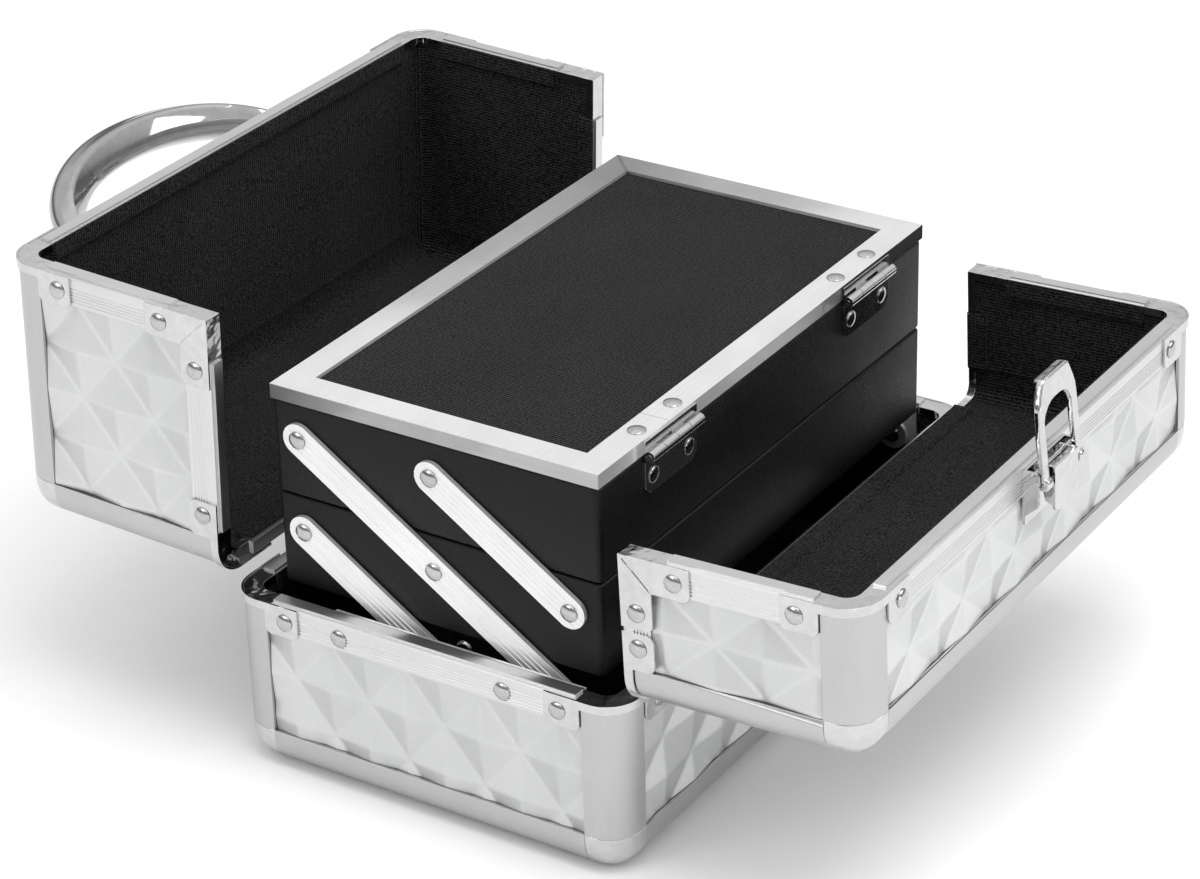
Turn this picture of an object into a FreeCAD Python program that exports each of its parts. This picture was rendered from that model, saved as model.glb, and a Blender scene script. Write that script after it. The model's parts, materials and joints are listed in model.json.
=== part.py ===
"""Makeup train case: a small aluminium-framed case with two swing-out trays.

Millimetres. The origin is the centre of the base's underside, +Z is up, X runs along
the case and the latch side faces -Y. Both lid shells stand open and both trays are
stowed, as the case is stored open. Each lid shell is drawn closed, because that is how
its joints line up with the base, and is then turned open about its own hinge pin.
"""

import FreeCAD, Part
import math
import os

from FreeCAD import Vector

# ---------------------------------------------------------------- driving dimensions
LENGTH = 228.0            # outside, along X
DEPTH = 147.5             # outside, along Y
BASE_HEIGHT = 63.4        # underside to rim
CLOSED_HEIGHT = 146.0     # underside to lid top
REAR_LID_DEPTH = 93.55    # how far the rear shell reaches across the top
RIM_GAP = 0.4             # between two rims that meet
LID_OPEN_DEG = 88.0       # lid stop
HINGE_OFFSET = 2.4        # hinge pin, outside the wall face

# wall build-up, counted inwards from the outer face of the aluminium
LEG = 1.2                 # outer leg of every extrusion
SKIN_BACK = 1.6           # back of the embossed skin
SKIN_FACE = 0.2           # highest points of the embossed skin
BOARD_BACK = 5.0          # back of the board
LINING_BACK = 5.6         # face of the fabric lining
WALL = 6.4                # face of the rim's inner leg

# edge extrusions, ball corners and rim extrusions
EDGE_RADIUS = 11.0        # outer rounding of the long edges
EDGE_FLANGE = 14.0        # width of an edge extrusion's flange
RIM_FACE = 10.4           # height of the rim's ribbed outer face
RIM_SHOULDER = 0.8        # drop from the raised seat to the shoulder
RIM_WEB = 3.6             # underside of the rim's web, where the board starts
RIM_INNER_LEG = 6.5       # foot of the rim's inner leg
RIM_SEAT = (1.4, 5.6)     # the raised seat, inwards from the outer face
RIB_COUNT = 5
RIB_PITCH = 1.1
RIB_START = 4.4
RIB_DEEP = 0.25
RIM_END = 16.5            # rim extrusions stop this far from a corner

# corner brackets and rivets
SHEET = 0.8               # bracket sheet
WING_END = 27.0
ANGLE_END = 25.0          # reach of a square corner's bracket
WING_START = 14.2
WING_FOOT = 11.6
WING_ROUND = 2.5
RIVET_AT = 22.0           # rivet to a rounded corner, along the wall
SQUARE_RIVET_AT = 19.5    # rivet to a square corner
RIVET_DOWN = 6.1          # rivet to rim
RIVET_R = 3.0
RIVET_H = 1.2
SHANK_R = 1.5

# lid hinges
HINGE_X = 62.0
HINGE_WIDE = 32.0
HINGE_LEAF = 10.0
LEAF_THICK = 1.0
KNUCKLE_R = 2.2
PIN_R = 1.0
RUNNING = 0.06            # radial clearance of every turning pin

# trays
TRAY_LENGTH = 203.4
TRAY_DEPTH = 121.2
TRAY_PITCH = 33.0         # one tray above the other
TRAY_HEIGHT = 32.6
TRAY_BOTTOM = 64.2
TRAY_WALL = 3.2
TRAY_FLOOR = 3.0
TRAY_CLOTH = 0.5

# arms: three pivots of the long arm rise one tray pitch each
PIVOT_Z = 52.5            # base pivots
PIVOT_STEP_Y = 50.0
ARM_WIDTH = 11.0
ARM_THICK = 1.6
ARM_FACE = 102.1          # arm's inner face, from the middle of the case
ARM_GROOVES = (-2.7, -0.9, 0.9, 2.7)
ARM_GROOVE_DEEP = 0.22
STRIP_FACE = 105.9        # inner face of the strip that carries the arms
STRIP_THICK = 1.5
STRIP_Y = (-57.0, 37.0)
STRIP_Z = (47.5, 62.4)
STRIP_RIVET_Y = 31.0
STOP_DEG = 92.5           # arm angle at full reach, from +Y
STOP_ALONG = 6.7          # stop pin from the short arm's pivot, along the arm then
STOP_ASIDE = 8.4          # and from its middle line
STOP_R = 2.5

# tray lid
LID_LENGTH = 204.0
LID_DEPTH = 121.5
LID_BOTTOM = 130.15
LID_TOP = 135.15
LID_FRAME = 10.3
LID_SHEET = 1.2
PANEL_THICK = 2.4
MIRROR_INSET = 3.0
TRAY_HINGE_X = 61.6
TRAY_HINGE_WIDE = 30.0
TRAY_HINGE_Y = -62.8
TRAY_HINGE_Z = 129.7
TRAY_KNUCKLE_R = 1.9
TRAY_PIN_R = 0.8
TRAY_LEAF = 0.8
TRAY_RIVET_X = 10.4
TRAY_RIVET_Z = 121.6
TRAY_RIVET = (2.8, 1.0)       # head radius and height
LID_RIVET_Y = -55.6
LID_RIVET = (3.0, 0.9)
LEAF_LOW, LEAF_TAPER, LEAF_CORNER = 116.0, 118.5, 2.5   # the tray leaf's shaped foot
PLATE_CLEAR = 0.3             # a hinge's barrel to its plates' edges

# handle
HANDLE_Y = 7.0            # pivot, with the lid closed
HANDLE_UP = 6.0           # pivot above the lid
HANDLE_HALF = 58.0        # middle of the case to the middle of a leg
HANDLE_RISE = 43.0        # pivot to the middle of the grip
HANDLE_LEG = (5.0, 5.0)   # half sizes of a leg, in and across the handle's plane
HANDLE_GRIP = (7.2, 8.4)  # half sizes of the grip, in and across the handle's plane
HANDLE_LEAN = 13.0        # past upright, towards the latch
HANDLE_LEG_START = 5.6    # end of a leg, above the pivot
HANDLE_EYE_R = 4.2
HANDLE_EYE_WIDE = 7.0
HANDLE_PIN_R = 2.0
HANDLE_NECK = (1.5, 3.0)  # overlap with the grip, and half thickness, of a leg's neck
PIN_HEAD = (3.0, 1.0)     # head radius and height
EAR_PLAY = 0.3            # eye to ear, each side
FOOT_ROUND = 4.0
EAR_THICK = 2.0
EAR_R = 4.2
FOOT_HALF = (11.0, 8.0)   # half sizes of a mount's foot plate
FOOT_THICK = 1.0

# latch, placed with the lids closed; heights are above the lid's top face
LEVER_PIVOT = (-23.0, 3.4)
LOOP_PIVOT = (-25.9, 6.2)
LATCH_HALF = 14.0
LATCH_SHEET = 1.0
LATCH_Y = (-40.0, -21.6)
LEVER_HALF = 8.0
LEVER_Y = (-35.0, -21.4)
LEVER_TOP = 8.2
LOOP_HALF = 12.6
LOOP_BAR = 2.3
LOOP_THICK = 1.6
LOOP_SHOULDER = 24.5
LOOP_LENGTH = 33.0
LOOP_TOP_HALF = 8.3
LOOP_LEAN = 5.4
LOOP_LIP = 3.4
LATCH_PIN_R = 0.9
CHEEK_HIGH = 5.6
LEVER_OVERHANG = 2.0      # the lever's finger edge past its sides
LEVER_ROUND = 2.5
LEVER_HIGH = 1.5          # the lowest point of the lever's sides
LOOP_FOOT = 1.7           # the loop below its pivot
LOOP_EYE_R = 1.9
WINDOW_CORNER = (4.5, 5.0)
LIP_THICK = 1.4
BASE_RIVET = (2.4, 1.0)   # head radius and height
BASE_RIVET_AT = (10.2, 5.6)   # from the middle, and in from the base's edge
KEEPER_RIVET = (2.2, 0.9)
KEEPER_RIVET_AT = (5.0, 6.0)
KEEPER_RIDGE = (2.0, 1.6, 1.9)   # shorter each end, width and height
KEEPER_Y = (-13.0, 4.8)
KEEPER_HALF = 9.0

# ---------------------------------------------------------------- worked out
X, Y, Z = Vector(1, 0, 0), Vector(0, 1, 0), Vector(0, 0, 1)
ORIGIN = Vector(0, 0, 0)
HALF_L = LENGTH / 2
HALF_D = DEPTH / 2
LID_RIM = BASE_HEIGHT + RIM_GAP
REAR_EDGE = HALF_D - REAR_LID_DEPTH
FRONT_EDGE = REAR_EDGE - RIM_GAP
HINGE_Y = HALF_D + HINGE_OFFSET
HINGE_Z = BASE_HEIGHT + RIM_GAP / 2
ARM_RISE = math.degrees(math.atan2(TRAY_PITCH, PIVOT_STEP_Y))
ARM_SPAN = math.hypot(TRAY_PITCH, PIVOT_STEP_Y)


# ---------------------------------------------------------------- general helpers
def export(name, *solids):
    """Write one node: its solids, side by side, as one STEP file."""
    flat = []
    for item in solids:
        flat.extend(item if isinstance(item, (list, tuple)) else [item])
    shape = flat[0] if len(flat) == 1 else Part.makeCompound(flat)
    shape.exportStep("parts/%s.step" % name)


def block(x, y, z):
    """A box from three (low, high) pairs."""
    size = [abs(high - low) for low, high in (x, y, z)]
    return Part.makeBox(*size, Vector(min(x), min(y), min(z)))


def prism(points, along):
    """A closed flat outline pushed along a vector."""
    return Part.Face(Part.makePolygon(points + points[:1])).extrude(along)


def cylinder(radius, start, end):
    """A round bar between two points."""
    axis = end - start
    return Part.makeCylinder(radius, axis.Length, start, axis)


def mirrored(shape):
    """The same piece at the other end of the case."""
    return shape.mirror(ORIGIN, X)


def both_ends(shapes):
    """Pieces at one end, with their mirror images at the other."""
    shapes = shapes if isinstance(shapes, list) else [shapes]
    return shapes + [mirrored(s) for s in shapes]


def front_and_back(shapes):
    return shapes + [s.mirror(ORIGIN, Y) for s in shapes]


def drilled(solids, tools):
    """Each solid with the tools that reach it taken away."""
    out = []
    for solid in solids if isinstance(solids, list) else [solids]:
        near = [t for t in tools if solid.BoundBox.intersect(t.BoundBox)]
        out.append(solid.cut(near) if near else solid)
    return out


def rear_open(shapes):
    return [s.rotated(Vector(0, HINGE_Y, HINGE_Z), X, -LID_OPEN_DEG) for s in shapes]


def front_open(shapes):
    return [s.rotated(Vector(0, -HINGE_Y, HINGE_Z), X, LID_OPEN_DEG) for s in shapes]


# ---------------------------------------------------------------- rivets
def turned_to(shape, point, out):
    """Move a shape drawn on the Z axis so that Z points out of a surface at point."""
    placed = shape.copy()
    placed.Placement = FreeCAD.Placement(point, FreeCAD.Rotation(Z, out))
    return placed


def headed(head, height, radius, length):
    """A domed head on a plain shank, drawn on the Z axis with the head above Z = 0."""
    edge = height * 0.3
    cap = height - edge
    ball = (head ** 2 + cap ** 2) / (2 * cap)
    half_turn = math.asin(head / ball) / 2
    on_cap = Vector(ball * math.sin(half_turn), 0, height - ball * (1 - math.cos(half_turn)))
    top, foot = Vector(0, 0, height), Vector(0, 0, -length)
    corners = [foot, Vector(radius, 0, -length), Vector(radius, 0, 0), Vector(head, 0, 0),
               Vector(head, 0, edge)]
    edges = [Part.LineSegment(a, b).toShape() for a, b in zip(corners, corners[1:])]
    edges += [Part.Arc(corners[-1], on_cap, top).toShape(),
              Part.LineSegment(top, foot).toShape()]
    return Part.Face(Part.Wire(edges)).revolve(ORIGIN, Z, 360)


def shank(point, out, length, radius=SHANK_R):
    return cylinder(radius, point - out * length, point)


def rivet(point, out, length, head=RIVET_R, height=RIVET_H, radius=SHANK_R):
    """A headed rivet whose head sits on a surface at point."""
    return turned_to(headed(head, height, radius, length), point, out)


# ---------------------------------------------------------------- case extrusions
def rim_bar(start, end, inward, down):
    """The ribbed extrusion that caps a wall's open edge: a raised seat, an outer leg
    with fine ribs and a short inner leg, gripping the board between them."""
    seat_out, seat_in = RIM_SEAT
    outline = [
        (seat_out, 0), (seat_in, 0), (seat_in, RIM_SHOULDER), (WALL, RIM_SHOULDER),
        (WALL, RIM_INNER_LEG), (LINING_BACK, RIM_INNER_LEG), (LINING_BACK, RIM_WEB),
        (LEG, RIM_WEB), (LEG, RIM_FACE), (0, RIM_FACE),
    ]
    for rib in reversed(range(RIB_COUNT)):
        low = RIB_START + RIB_PITCH * rib
        outline += [(0, low + 2 * RIB_DEEP), (RIB_DEEP, low + RIB_DEEP), (0, low)]
    outline += [(0, RIM_SHOULDER + 0.4), (0.4, RIM_SHOULDER), (seat_out, RIM_SHOULDER)]
    return prism([start + inward * u + down * v for u, v in outline], end - start)


def corner_outline(corner, a, b, outer, inner, reach, thick):
    """A rounded L: two legs that meet in a bend, outer radius to inner radius."""
    def at(u, v):
        return corner + a * u + b * v

    bend = EDGE_RADIUS
    cut = math.sqrt(0.5)
    low = bend - outer
    edges = [
        Part.LineSegment(at(reach, low), at(bend, low)).toShape(),
        Part.Arc(at(bend, low), at(bend - outer * cut, bend - outer * cut),
                 at(low, bend)).toShape(),
        Part.LineSegment(at(low, bend), at(low, reach)).toShape(),
        Part.LineSegment(at(low, reach), at(low + thick, reach)).toShape(),
        Part.LineSegment(at(low + thick, reach), at(low + thick, bend)).toShape(),
    ]
    high = bend - inner
    if high - low - thick > 1e-6:
        edges.append(Part.LineSegment(at(low + thick, bend), at(high, bend)).toShape())
    edges.append(Part.Arc(at(high, bend), at(bend - inner * cut, bend - inner * cut),
                          at(bend, high)).toShape())
    if high - low - thick > 1e-6:
        edges.append(Part.LineSegment(at(bend, high), at(bend, low + thick)).toShape())
    edges += [
        Part.LineSegment(at(bend, low + thick), at(reach, low + thick)).toShape(),
        Part.LineSegment(at(reach, low + thick), at(reach, low)).toShape(),
    ]
    return Part.Face(Part.Wire(edges))


def edge_bar(start, end, a, b):
    """The smooth rounded extrusion along an outer edge. a and b lead from the sharp
    corner along the two walls that it joins."""
    face = corner_outline(start, a, b, EDGE_RADIUS, EDGE_RADIUS - BOARD_BACK,
                          EDGE_FLANGE, LEG)
    return face.extrude(end - start)


def ball_corner(corner, sx, sy, sz):
    """The pressed corner where three edge extrusions meet. The signs point inwards."""
    def rounded(low, radius):
        box = Part.makeBox(30 - low, 30 - low, 30 - low, Vector(low, low, low))
        near = [e for e in box.Edges
                if sum(abs(v.Point.x - low) + abs(v.Point.y - low) + abs(v.Point.z - low)
                       < 1e-6 for v in e.Vertexes)]
        return box.makeFillet(radius, near)

    reach = (0, EDGE_FLANGE)
    solid = rounded(0, EDGE_RADIUS).common(block(reach, reach, reach))
    solid = solid.cut(rounded(BOARD_BACK, EDGE_RADIUS - BOARD_BACK))
    past, behind = (EDGE_RADIUS, EDGE_FLANGE), (LEG, EDGE_FLANGE)
    for spans in ((behind, past, past), (past, behind, past), (past, past, behind)):
        solid = solid.cut(block(*spans))
    for sign, normal in ((sx, X), (sy, Y), (sz, Z)):
        if sign < 0:
            solid = solid.mirror(ORIGIN, normal)
    return solid.translated(corner)


def wing(corner, along, out, down):
    """The riveted plate of a corner bracket, on the wall's outer face."""
    plate = prism([
        corner + along * u + down * v for u, v in
        ((WING_START, 0.6), (WING_END, 0.6), (WING_END, WING_FOOT),
         (WING_START, WING_FOOT))
    ], out * SHEET)
    lower = [e for e in plate.Edges
             if abs((e.Vertexes[0].Point - e.Vertexes[1].Point).dot(out)) > SHEET / 2
             and (e.Vertexes[0].Point - corner).dot(down) > WING_FOOT - 0.1]
    return plate.makeFillet(WING_ROUND, lower)


def round_bracket(corner, a, b, down):
    """A rim bracket that bends round an edge: a body between the rim extrusions, a
    band outside it and a riveted wing on each wall."""
    body = corner_outline(corner + down * RIM_SHOULDER, a, b, EDGE_RADIUS,
                          EDGE_RADIUS - WALL, RIM_END, WALL)
    band = corner_outline(corner + down * 0.6, a, b, EDGE_RADIUS + SHEET, EDGE_RADIUS,
                          WING_END, SHEET)
    return body.extrude(down * (RIM_WEB - RIM_SHOULDER)).fuse([
        band.extrude(down * (RIM_WEB - 0.6)),
        wing(corner, a, -b, down),
        wing(corner, b, -a, down),
    ]).removeSplitter()


def square_bracket(corner, a, b, out):
    """An angle bracket on the flat corner of an end wall, between two rims."""
    def angle(low, end, wide, base, depth):
        spots = ((low, low), (end, low), (end, wide), (wide, wide), (wide, end),
                 (low, end))
        return prism([base + a * u + b * v for u, v in spots], depth)

    plate = angle(0.6, ANGLE_END, WING_FOOT, corner, out * SHEET)
    ends = [e for e in plate.Edges
            if abs((e.Vertexes[0].Point - e.Vertexes[1].Point).dot(out)) > SHEET / 2
            and sorted(round((e.Vertexes[0].Point - corner).dot(d), 3) for d in (a, b))
            == [WING_FOOT, ANGLE_END]]
    plate = plate.makeFillet(WING_ROUND, ends)
    body = angle(RIM_SHOULDER, RIM_END, RIM_WEB, corner, -out * WALL)
    return plate.fuse(body).removeSplitter()


# ---------------------------------------------------------------- walls
def wall(corner, u, v, inward, size, open_u, open_v):
    """One wall: its board and its embossed skin. u and v lead along the wall from its
    corner, size is its full extent, and open_u and open_v say whether the low and
    high side along each is an open rim."""
    def slab(depth_low, depth_high, rim, closed):
        spans = []
        for total, sides in ((size[0], open_u), (size[1], open_v)):
            low = rim if sides[0] else closed
            high = total - (rim if sides[1] else closed)
            spans.append((low, high))
        (u0, u1), (v0, v1) = spans
        start = corner + inward * depth_low
        spots = [(u0, v0), (u1, v0), (u1, v1), (u0, v1)]
        return prism([start + u * p + v * q for p, q in spots],
                     inward * (depth_high - depth_low))

    board = slab(SKIN_BACK, BOARD_BACK, RIM_WEB, EDGE_RADIUS)
    sheet = slab(LEG, SKIN_BACK, RIM_WEB, EDGE_RADIUS)
    field = slab(SKIN_FACE, LEG, RIM_FACE, EDGE_FLANGE)
    return board, sheet.fuse(field)


def lining(x, y, z, open_sides):
    """A thin fabric lining that follows the rounded inside of a shell. The spans are
    the shell's outer faces, and the open sides run out to the rim webs."""
    def rounded(depth, radius, reach):
        spans = []
        for (low, high), (low_open, high_open) in zip((x, y, z), open_sides):
            spans.append((low - reach if low_open else low + depth,
                          high + reach if high_open else high - depth))
        box = block(*spans)
        faces = []
        for axis, (low_open, high_open) in enumerate(open_sides):
            for value, is_open in zip(spans[axis], (low_open, high_open)):
                if not is_open:
                    faces.append((axis, value))
        edges = [e for e in box.Edges
                 if sum(all(abs(v.Point[axis] - value) < 1e-6 for v in e.Vertexes)
                        for axis, value in faces) == 2]
        return box.makeFillet(radius, edges)

    bend = EDGE_RADIUS - BOARD_BACK
    cloth = LINING_BACK - BOARD_BACK
    shell = rounded(BOARD_BACK, bend, 20).cut(rounded(LINING_BACK, bend - cloth, 40))
    clip = []
    for (low, high), (low_open, high_open) in zip((x, y, z), open_sides):
        clip.append((low + (RIM_WEB if low_open else 0),
                     high - (RIM_WEB if high_open else 0)))
    return shell.common(block(*clip))


# ---------------------------------------------------------------- base
def make_base():
    """The lower box: boards, skins, lining, extrusions, corners, rivets and the strips
    that carry the tray arms."""
    corner = Vector(-HALF_L, -HALF_D, 0)
    closed = (False, False)
    side = wall(corner, X, Z, Y, (LENGTH, BASE_HEIGHT), closed, (False, True))
    end = wall(corner, Y, Z, X, (DEPTH, BASE_HEIGHT), closed, (False, True))
    floor = block((EDGE_RADIUS - HALF_L, HALF_L - EDGE_RADIUS),
                  (EDGE_RADIUS - HALF_D, HALF_D - EDGE_RADIUS), (SKIN_BACK, BOARD_BACK))
    boards = front_and_back([side[0]]) + both_ends(end[0]) + [floor]
    skins = front_and_back([side[1]]) + both_ends(end[1])
    underside = block((EDGE_RADIUS - HALF_L, HALF_L - EDGE_RADIUS),
                      (EDGE_RADIUS - HALF_D, HALF_D - EDGE_RADIUS), (LEG, SKIN_BACK))
    underside = underside.fuse(block((EDGE_FLANGE - HALF_L, HALF_L - EDGE_FLANGE),
                                     (EDGE_FLANGE - HALF_D, HALF_D - EDGE_FLANGE),
                                     (0, LEG)))
    cloth = lining((-HALF_L, HALF_L), (-HALF_D, HALF_D), (0, BASE_HEIGHT),
                   (closed, closed, (False, True)))

    top = Vector(-HALF_L, -HALF_D, BASE_HEIGHT)
    rims = front_and_back([rim_bar(top + X * RIM_END, top + X * (LENGTH - RIM_END), Y, -Z)])
    rims += both_ends(rim_bar(top + Y * RIM_END, top + Y * (DEPTH - RIM_END), X, -Z))
    posts = front_and_back(both_ends(edge_bar(
        corner + Z * EDGE_FLANGE, top - Z * (RIM_WEB + 0.2), X, Y)))
    feet = front_and_back([edge_bar(corner + X * EDGE_FLANGE,
                                    corner + X * (LENGTH - EDGE_FLANGE), Y, Z)])
    feet += both_ends(edge_bar(corner + Y * EDGE_FLANGE,
                               corner + Y * (DEPTH - EDGE_FLANGE), X, Z))
    balls = front_and_back(both_ends(ball_corner(corner, 1, 1, 1)))
    brackets = front_and_back(both_ends(round_bracket(top, X, Y, -Z)))

    spots = []
    for sx in (-1, 1):
        for sy in (-1, 1):
            height = BASE_HEIGHT - RIVET_DOWN
            spots.append((Vector(sx * (HALF_L + SHEET), sy * (HALF_D - RIVET_AT), height),
                          X * sx, SHEET + BOARD_BACK))
            spots.append((Vector(sx * (HALF_L - RIVET_AT), sy * (HALF_D + SHEET), height),
                          Y * sy, SHEET + BOARD_BACK))
            spots.append((Vector(sx * HALF_L, sy * STRIP_RIVET_Y, height), X * sx,
                          HALF_L - STRIP_FACE))
    holes = [shank(*spot) for spot in spots]

    strips, strip_rivets = make_strips()
    export("base_boards", drilled(boards, holes))
    export("base_skins", drilled(skins, holes))
    export("base_underside_panel", underside)
    export("base_lining", drilled(cloth, holes))
    export("base_rim_extrusions", drilled(rims, holes))
    export("base_corner_posts", posts)
    export("base_bottom_edges", feet)
    export("base_ball_corners", balls)
    export("base_rim_brackets", drilled(brackets, holes))
    export("base_rivets", [rivet(*spot) for spot in spots])
    export("arm_strips", drilled(strips, holes))
    export("arm_strip_rivets", strip_rivets)


def make_strips():
    """A flat strip inside each end wall, with two arm pivots and a stop pin."""
    strip = block((STRIP_FACE, STRIP_FACE + STRIP_THICK), STRIP_Y, STRIP_Z)
    arm_outer = ARM_FACE + ARM_THICK
    pivots = []
    for y in (-PIVOT_STEP_Y, 0):
        face = Vector(ARM_FACE - 0.1, y, PIVOT_Z)
        pin = rivet(face, -X, STRIP_FACE + STRIP_THICK - face.x)
        collar = cylinder(3.4, Vector(arm_outer + 0.1, y, PIVOT_Z),
                          Vector(STRIP_FACE, y, PIVOT_Z))
        pivots.append(pin.fuse(collar).removeSplitter())
    angle = math.radians(STOP_DEG)
    y = STOP_ALONG * math.cos(angle) - STOP_ASIDE * math.sin(angle)
    z = PIVOT_Z + STOP_ALONG * math.sin(angle) + STOP_ASIDE * math.cos(angle)
    head = Vector(ARM_FACE - 0.6, y, z)
    stop = rivet(head, -X, STRIP_FACE + STRIP_THICK - head.x, STOP_R + 0.6, 1.4, STOP_R)
    tools = [cylinder(SHANK_R, Vector(STRIP_FACE, p, PIVOT_Z),
                      Vector(STRIP_FACE + STRIP_THICK, p, PIVOT_Z))
             for p in (-PIVOT_STEP_Y, 0)]
    tools.append(cylinder(STOP_R, Vector(STRIP_FACE, y, z),
                          Vector(STRIP_FACE + STRIP_THICK, y, z)))
    return both_ends(strip.cut(tools)), both_ends(pivots + [stop])


# ---------------------------------------------------------------- lid shells
def make_shell(name, side, edge, opened, extra_holes):
    """A lid shell, drawn closed: a back or front wall, its share of the top and two
    end walls. side is +1 for the rear shell and -1 for the front shell, and edge is
    where its free rim crosses the top."""
    face_y = side * HALF_D
    deep = abs(face_y - edge)
    high = CLOSED_HEIGHT - LID_RIM
    inward = -Y * side
    low = Vector(-HALF_L, face_y, LID_RIM)
    top = Vector(-HALF_L, face_y, CLOSED_HEIGHT)
    free = Vector(-HALF_L, edge, CLOSED_HEIGHT)
    foot = Vector(-HALF_L, edge, LID_RIM)
    closed, open_low, open_high = (False, False), (True, False), (False, True)

    long_wall = wall(low, X, Z, inward, (LENGTH, high), closed, open_low)
    top_wall = wall(free, X, -inward, -Z, (LENGTH, deep), closed, open_low)
    end_wall = wall(foot, -inward, Z, X, (deep, high), open_low, open_low)
    boards = [long_wall[0], top_wall[0]] + both_ends(end_wall[0])
    skins = [long_wall[1], top_wall[1]] + both_ends(end_wall[1])
    y_span = (edge, face_y) if side > 0 else (face_y, edge)
    y_open = open_low if side > 0 else open_high
    cloth = lining((-HALF_L, HALF_L), y_span, (LID_RIM, CLOSED_HEIGHT),
                   (closed, y_open, open_low))

    rims = [
        rim_bar(low + X * RIM_END, low + X * (LENGTH - RIM_END), inward, Z),
        rim_bar(free + X * RIM_END, free + X * (LENGTH - RIM_END), -Z, -inward),
    ]
    rims += both_ends([
        rim_bar(low + inward * RIM_END, foot - inward * RIM_END, X, Z),
        rim_bar(foot + Z * RIM_END, free - Z * RIM_END, X, -inward),
    ])
    below = RIM_WEB + 0.2
    edges = [edge_bar(top + X * EDGE_FLANGE, top + X * (LENGTH - EDGE_FLANGE), inward, -Z)]
    edges += both_ends([
        edge_bar(low + Z * below, top - Z * EDGE_FLANGE, X, inward),
        edge_bar(top + inward * EDGE_FLANGE, free - inward * below, X, -Z),
    ])
    balls = both_ends(ball_corner(top, 1, -side, -1))
    rounds = both_ends([round_bracket(low, X, inward, Z),
                        round_bracket(free, X, -Z, -inward)])
    squares = both_ends(square_bracket(foot, -inward, Z, -X))

    spots = []
    grip = SHEET + BOARD_BACK
    for sx in (-1, 1):
        out = X * sx
        outer = sx * (HALF_L + SHEET)
        inner = sx * (HALF_L - RIVET_AT)
        spots += [
            (Vector(outer, face_y - side * RIVET_AT, LID_RIM + RIVET_DOWN), out, grip),
            (Vector(outer, edge + side * SQUARE_RIVET_AT, LID_RIM + RIVET_DOWN), out, grip),
            (Vector(outer, edge + side * RIVET_DOWN, LID_RIM + SQUARE_RIVET_AT), out, grip),
            (Vector(outer, edge + side * RIVET_DOWN, CLOSED_HEIGHT - RIVET_AT), out, grip),
            (Vector(inner, face_y + side * SHEET, LID_RIM + RIVET_DOWN), -inward, grip),
            (Vector(inner, edge + side * RIVET_DOWN, CLOSED_HEIGHT + SHEET), Z, grip),
        ]
    holes = [shank(*spot) for spot in spots]
    drills = holes + extra_holes
    export(name + "_boards", opened(drilled(boards, drills)))
    export(name + "_skins", opened(drilled(skins, drills)))
    export(name + "_lining", opened([cloth]))
    export(name + "_rim_extrusions", opened(drilled(rims, drills)))
    export(name + "_edge_extrusions", opened(edges))
    export(name + "_ball_corners", opened(balls))
    export(name + "_rim_brackets", opened(drilled(rounds, holes)))
    export(name + "_square_brackets", opened(drilled(squares, holes)))
    return [rivet(*spot) for spot in spots]


# ---------------------------------------------------------------- lid hinges
def leaf(centre, knuckles, out, up):
    """One leaf of a butt hinge. up leads from the pin to the plate, out is the wall's
    outward direction, and knuckles lists the spans along X that carry a barrel."""
    face = centre - out * HINGE_OFFSET
    plate = prism([face + X * p + up * q for p, q in (
        (-HINGE_WIDE / 2, KNUCKLE_R + PLATE_CLEAR), (HINGE_WIDE / 2, KNUCKLE_R + PLATE_CLEAR),
        (HINGE_WIDE / 2, KNUCKLE_R + HINGE_LEAF),
        (-HINGE_WIDE / 2, KNUCKLE_R + HINGE_LEAF))], out * LEAF_THICK)
    pieces = []
    for low, high in knuckles:
        pieces.append(cylinder(KNUCKLE_R, centre + X * low, centre + X * high))
        pieces.append(prism([face + out * LEAF_THICK * s + up * q for s, q in (
            (0.2, 0), (1, 0), (1, KNUCKLE_R + 0.6), (0.2, KNUCKLE_R + 0.6))],
            X * (high - low)).translated(X * low))
    bore = cylinder(PIN_R + RUNNING, centre - X * HINGE_WIDE, centre + X * HINGE_WIDE)
    return plate.fuse(pieces).cut(bore).removeSplitter()


def knuckle_spans(wide, count, gap):
    """Equal barrels along a hinge, dealt in turn to its two leaves."""
    step = wide / count
    spans = [(i * step - wide / 2 + gap / 2, (i + 1) * step - wide / 2 - gap / 2)
             for i in range(count)]
    return spans[0::2], spans[1::2]


def make_lid_hinges(name, side, opened):
    """Two butt hinges between the base and a lid shell, on the wall's outer face."""
    out = Y * side
    fixed, moving = knuckle_spans(HINGE_WIDE, 5, 0.3)
    base_leaves, lid_leaves = [], []
    for x in (-HINGE_X, HINGE_X):
        centre = Vector(x, side * HINGE_Y, HINGE_Z)
        half = X * (HINGE_WIDE / 2)
        pin = cylinder(PIN_R, centre - half, centre + half)
        base_leaves += [leaf(centre, fixed, out, -Z), pin]
        lid_leaves.append(leaf(centre, moving, out, Z))
    export(name + "_hinge_base_leaves", base_leaves)
    export(name + "_hinge_lid_leaves", opened(lid_leaves))


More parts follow.
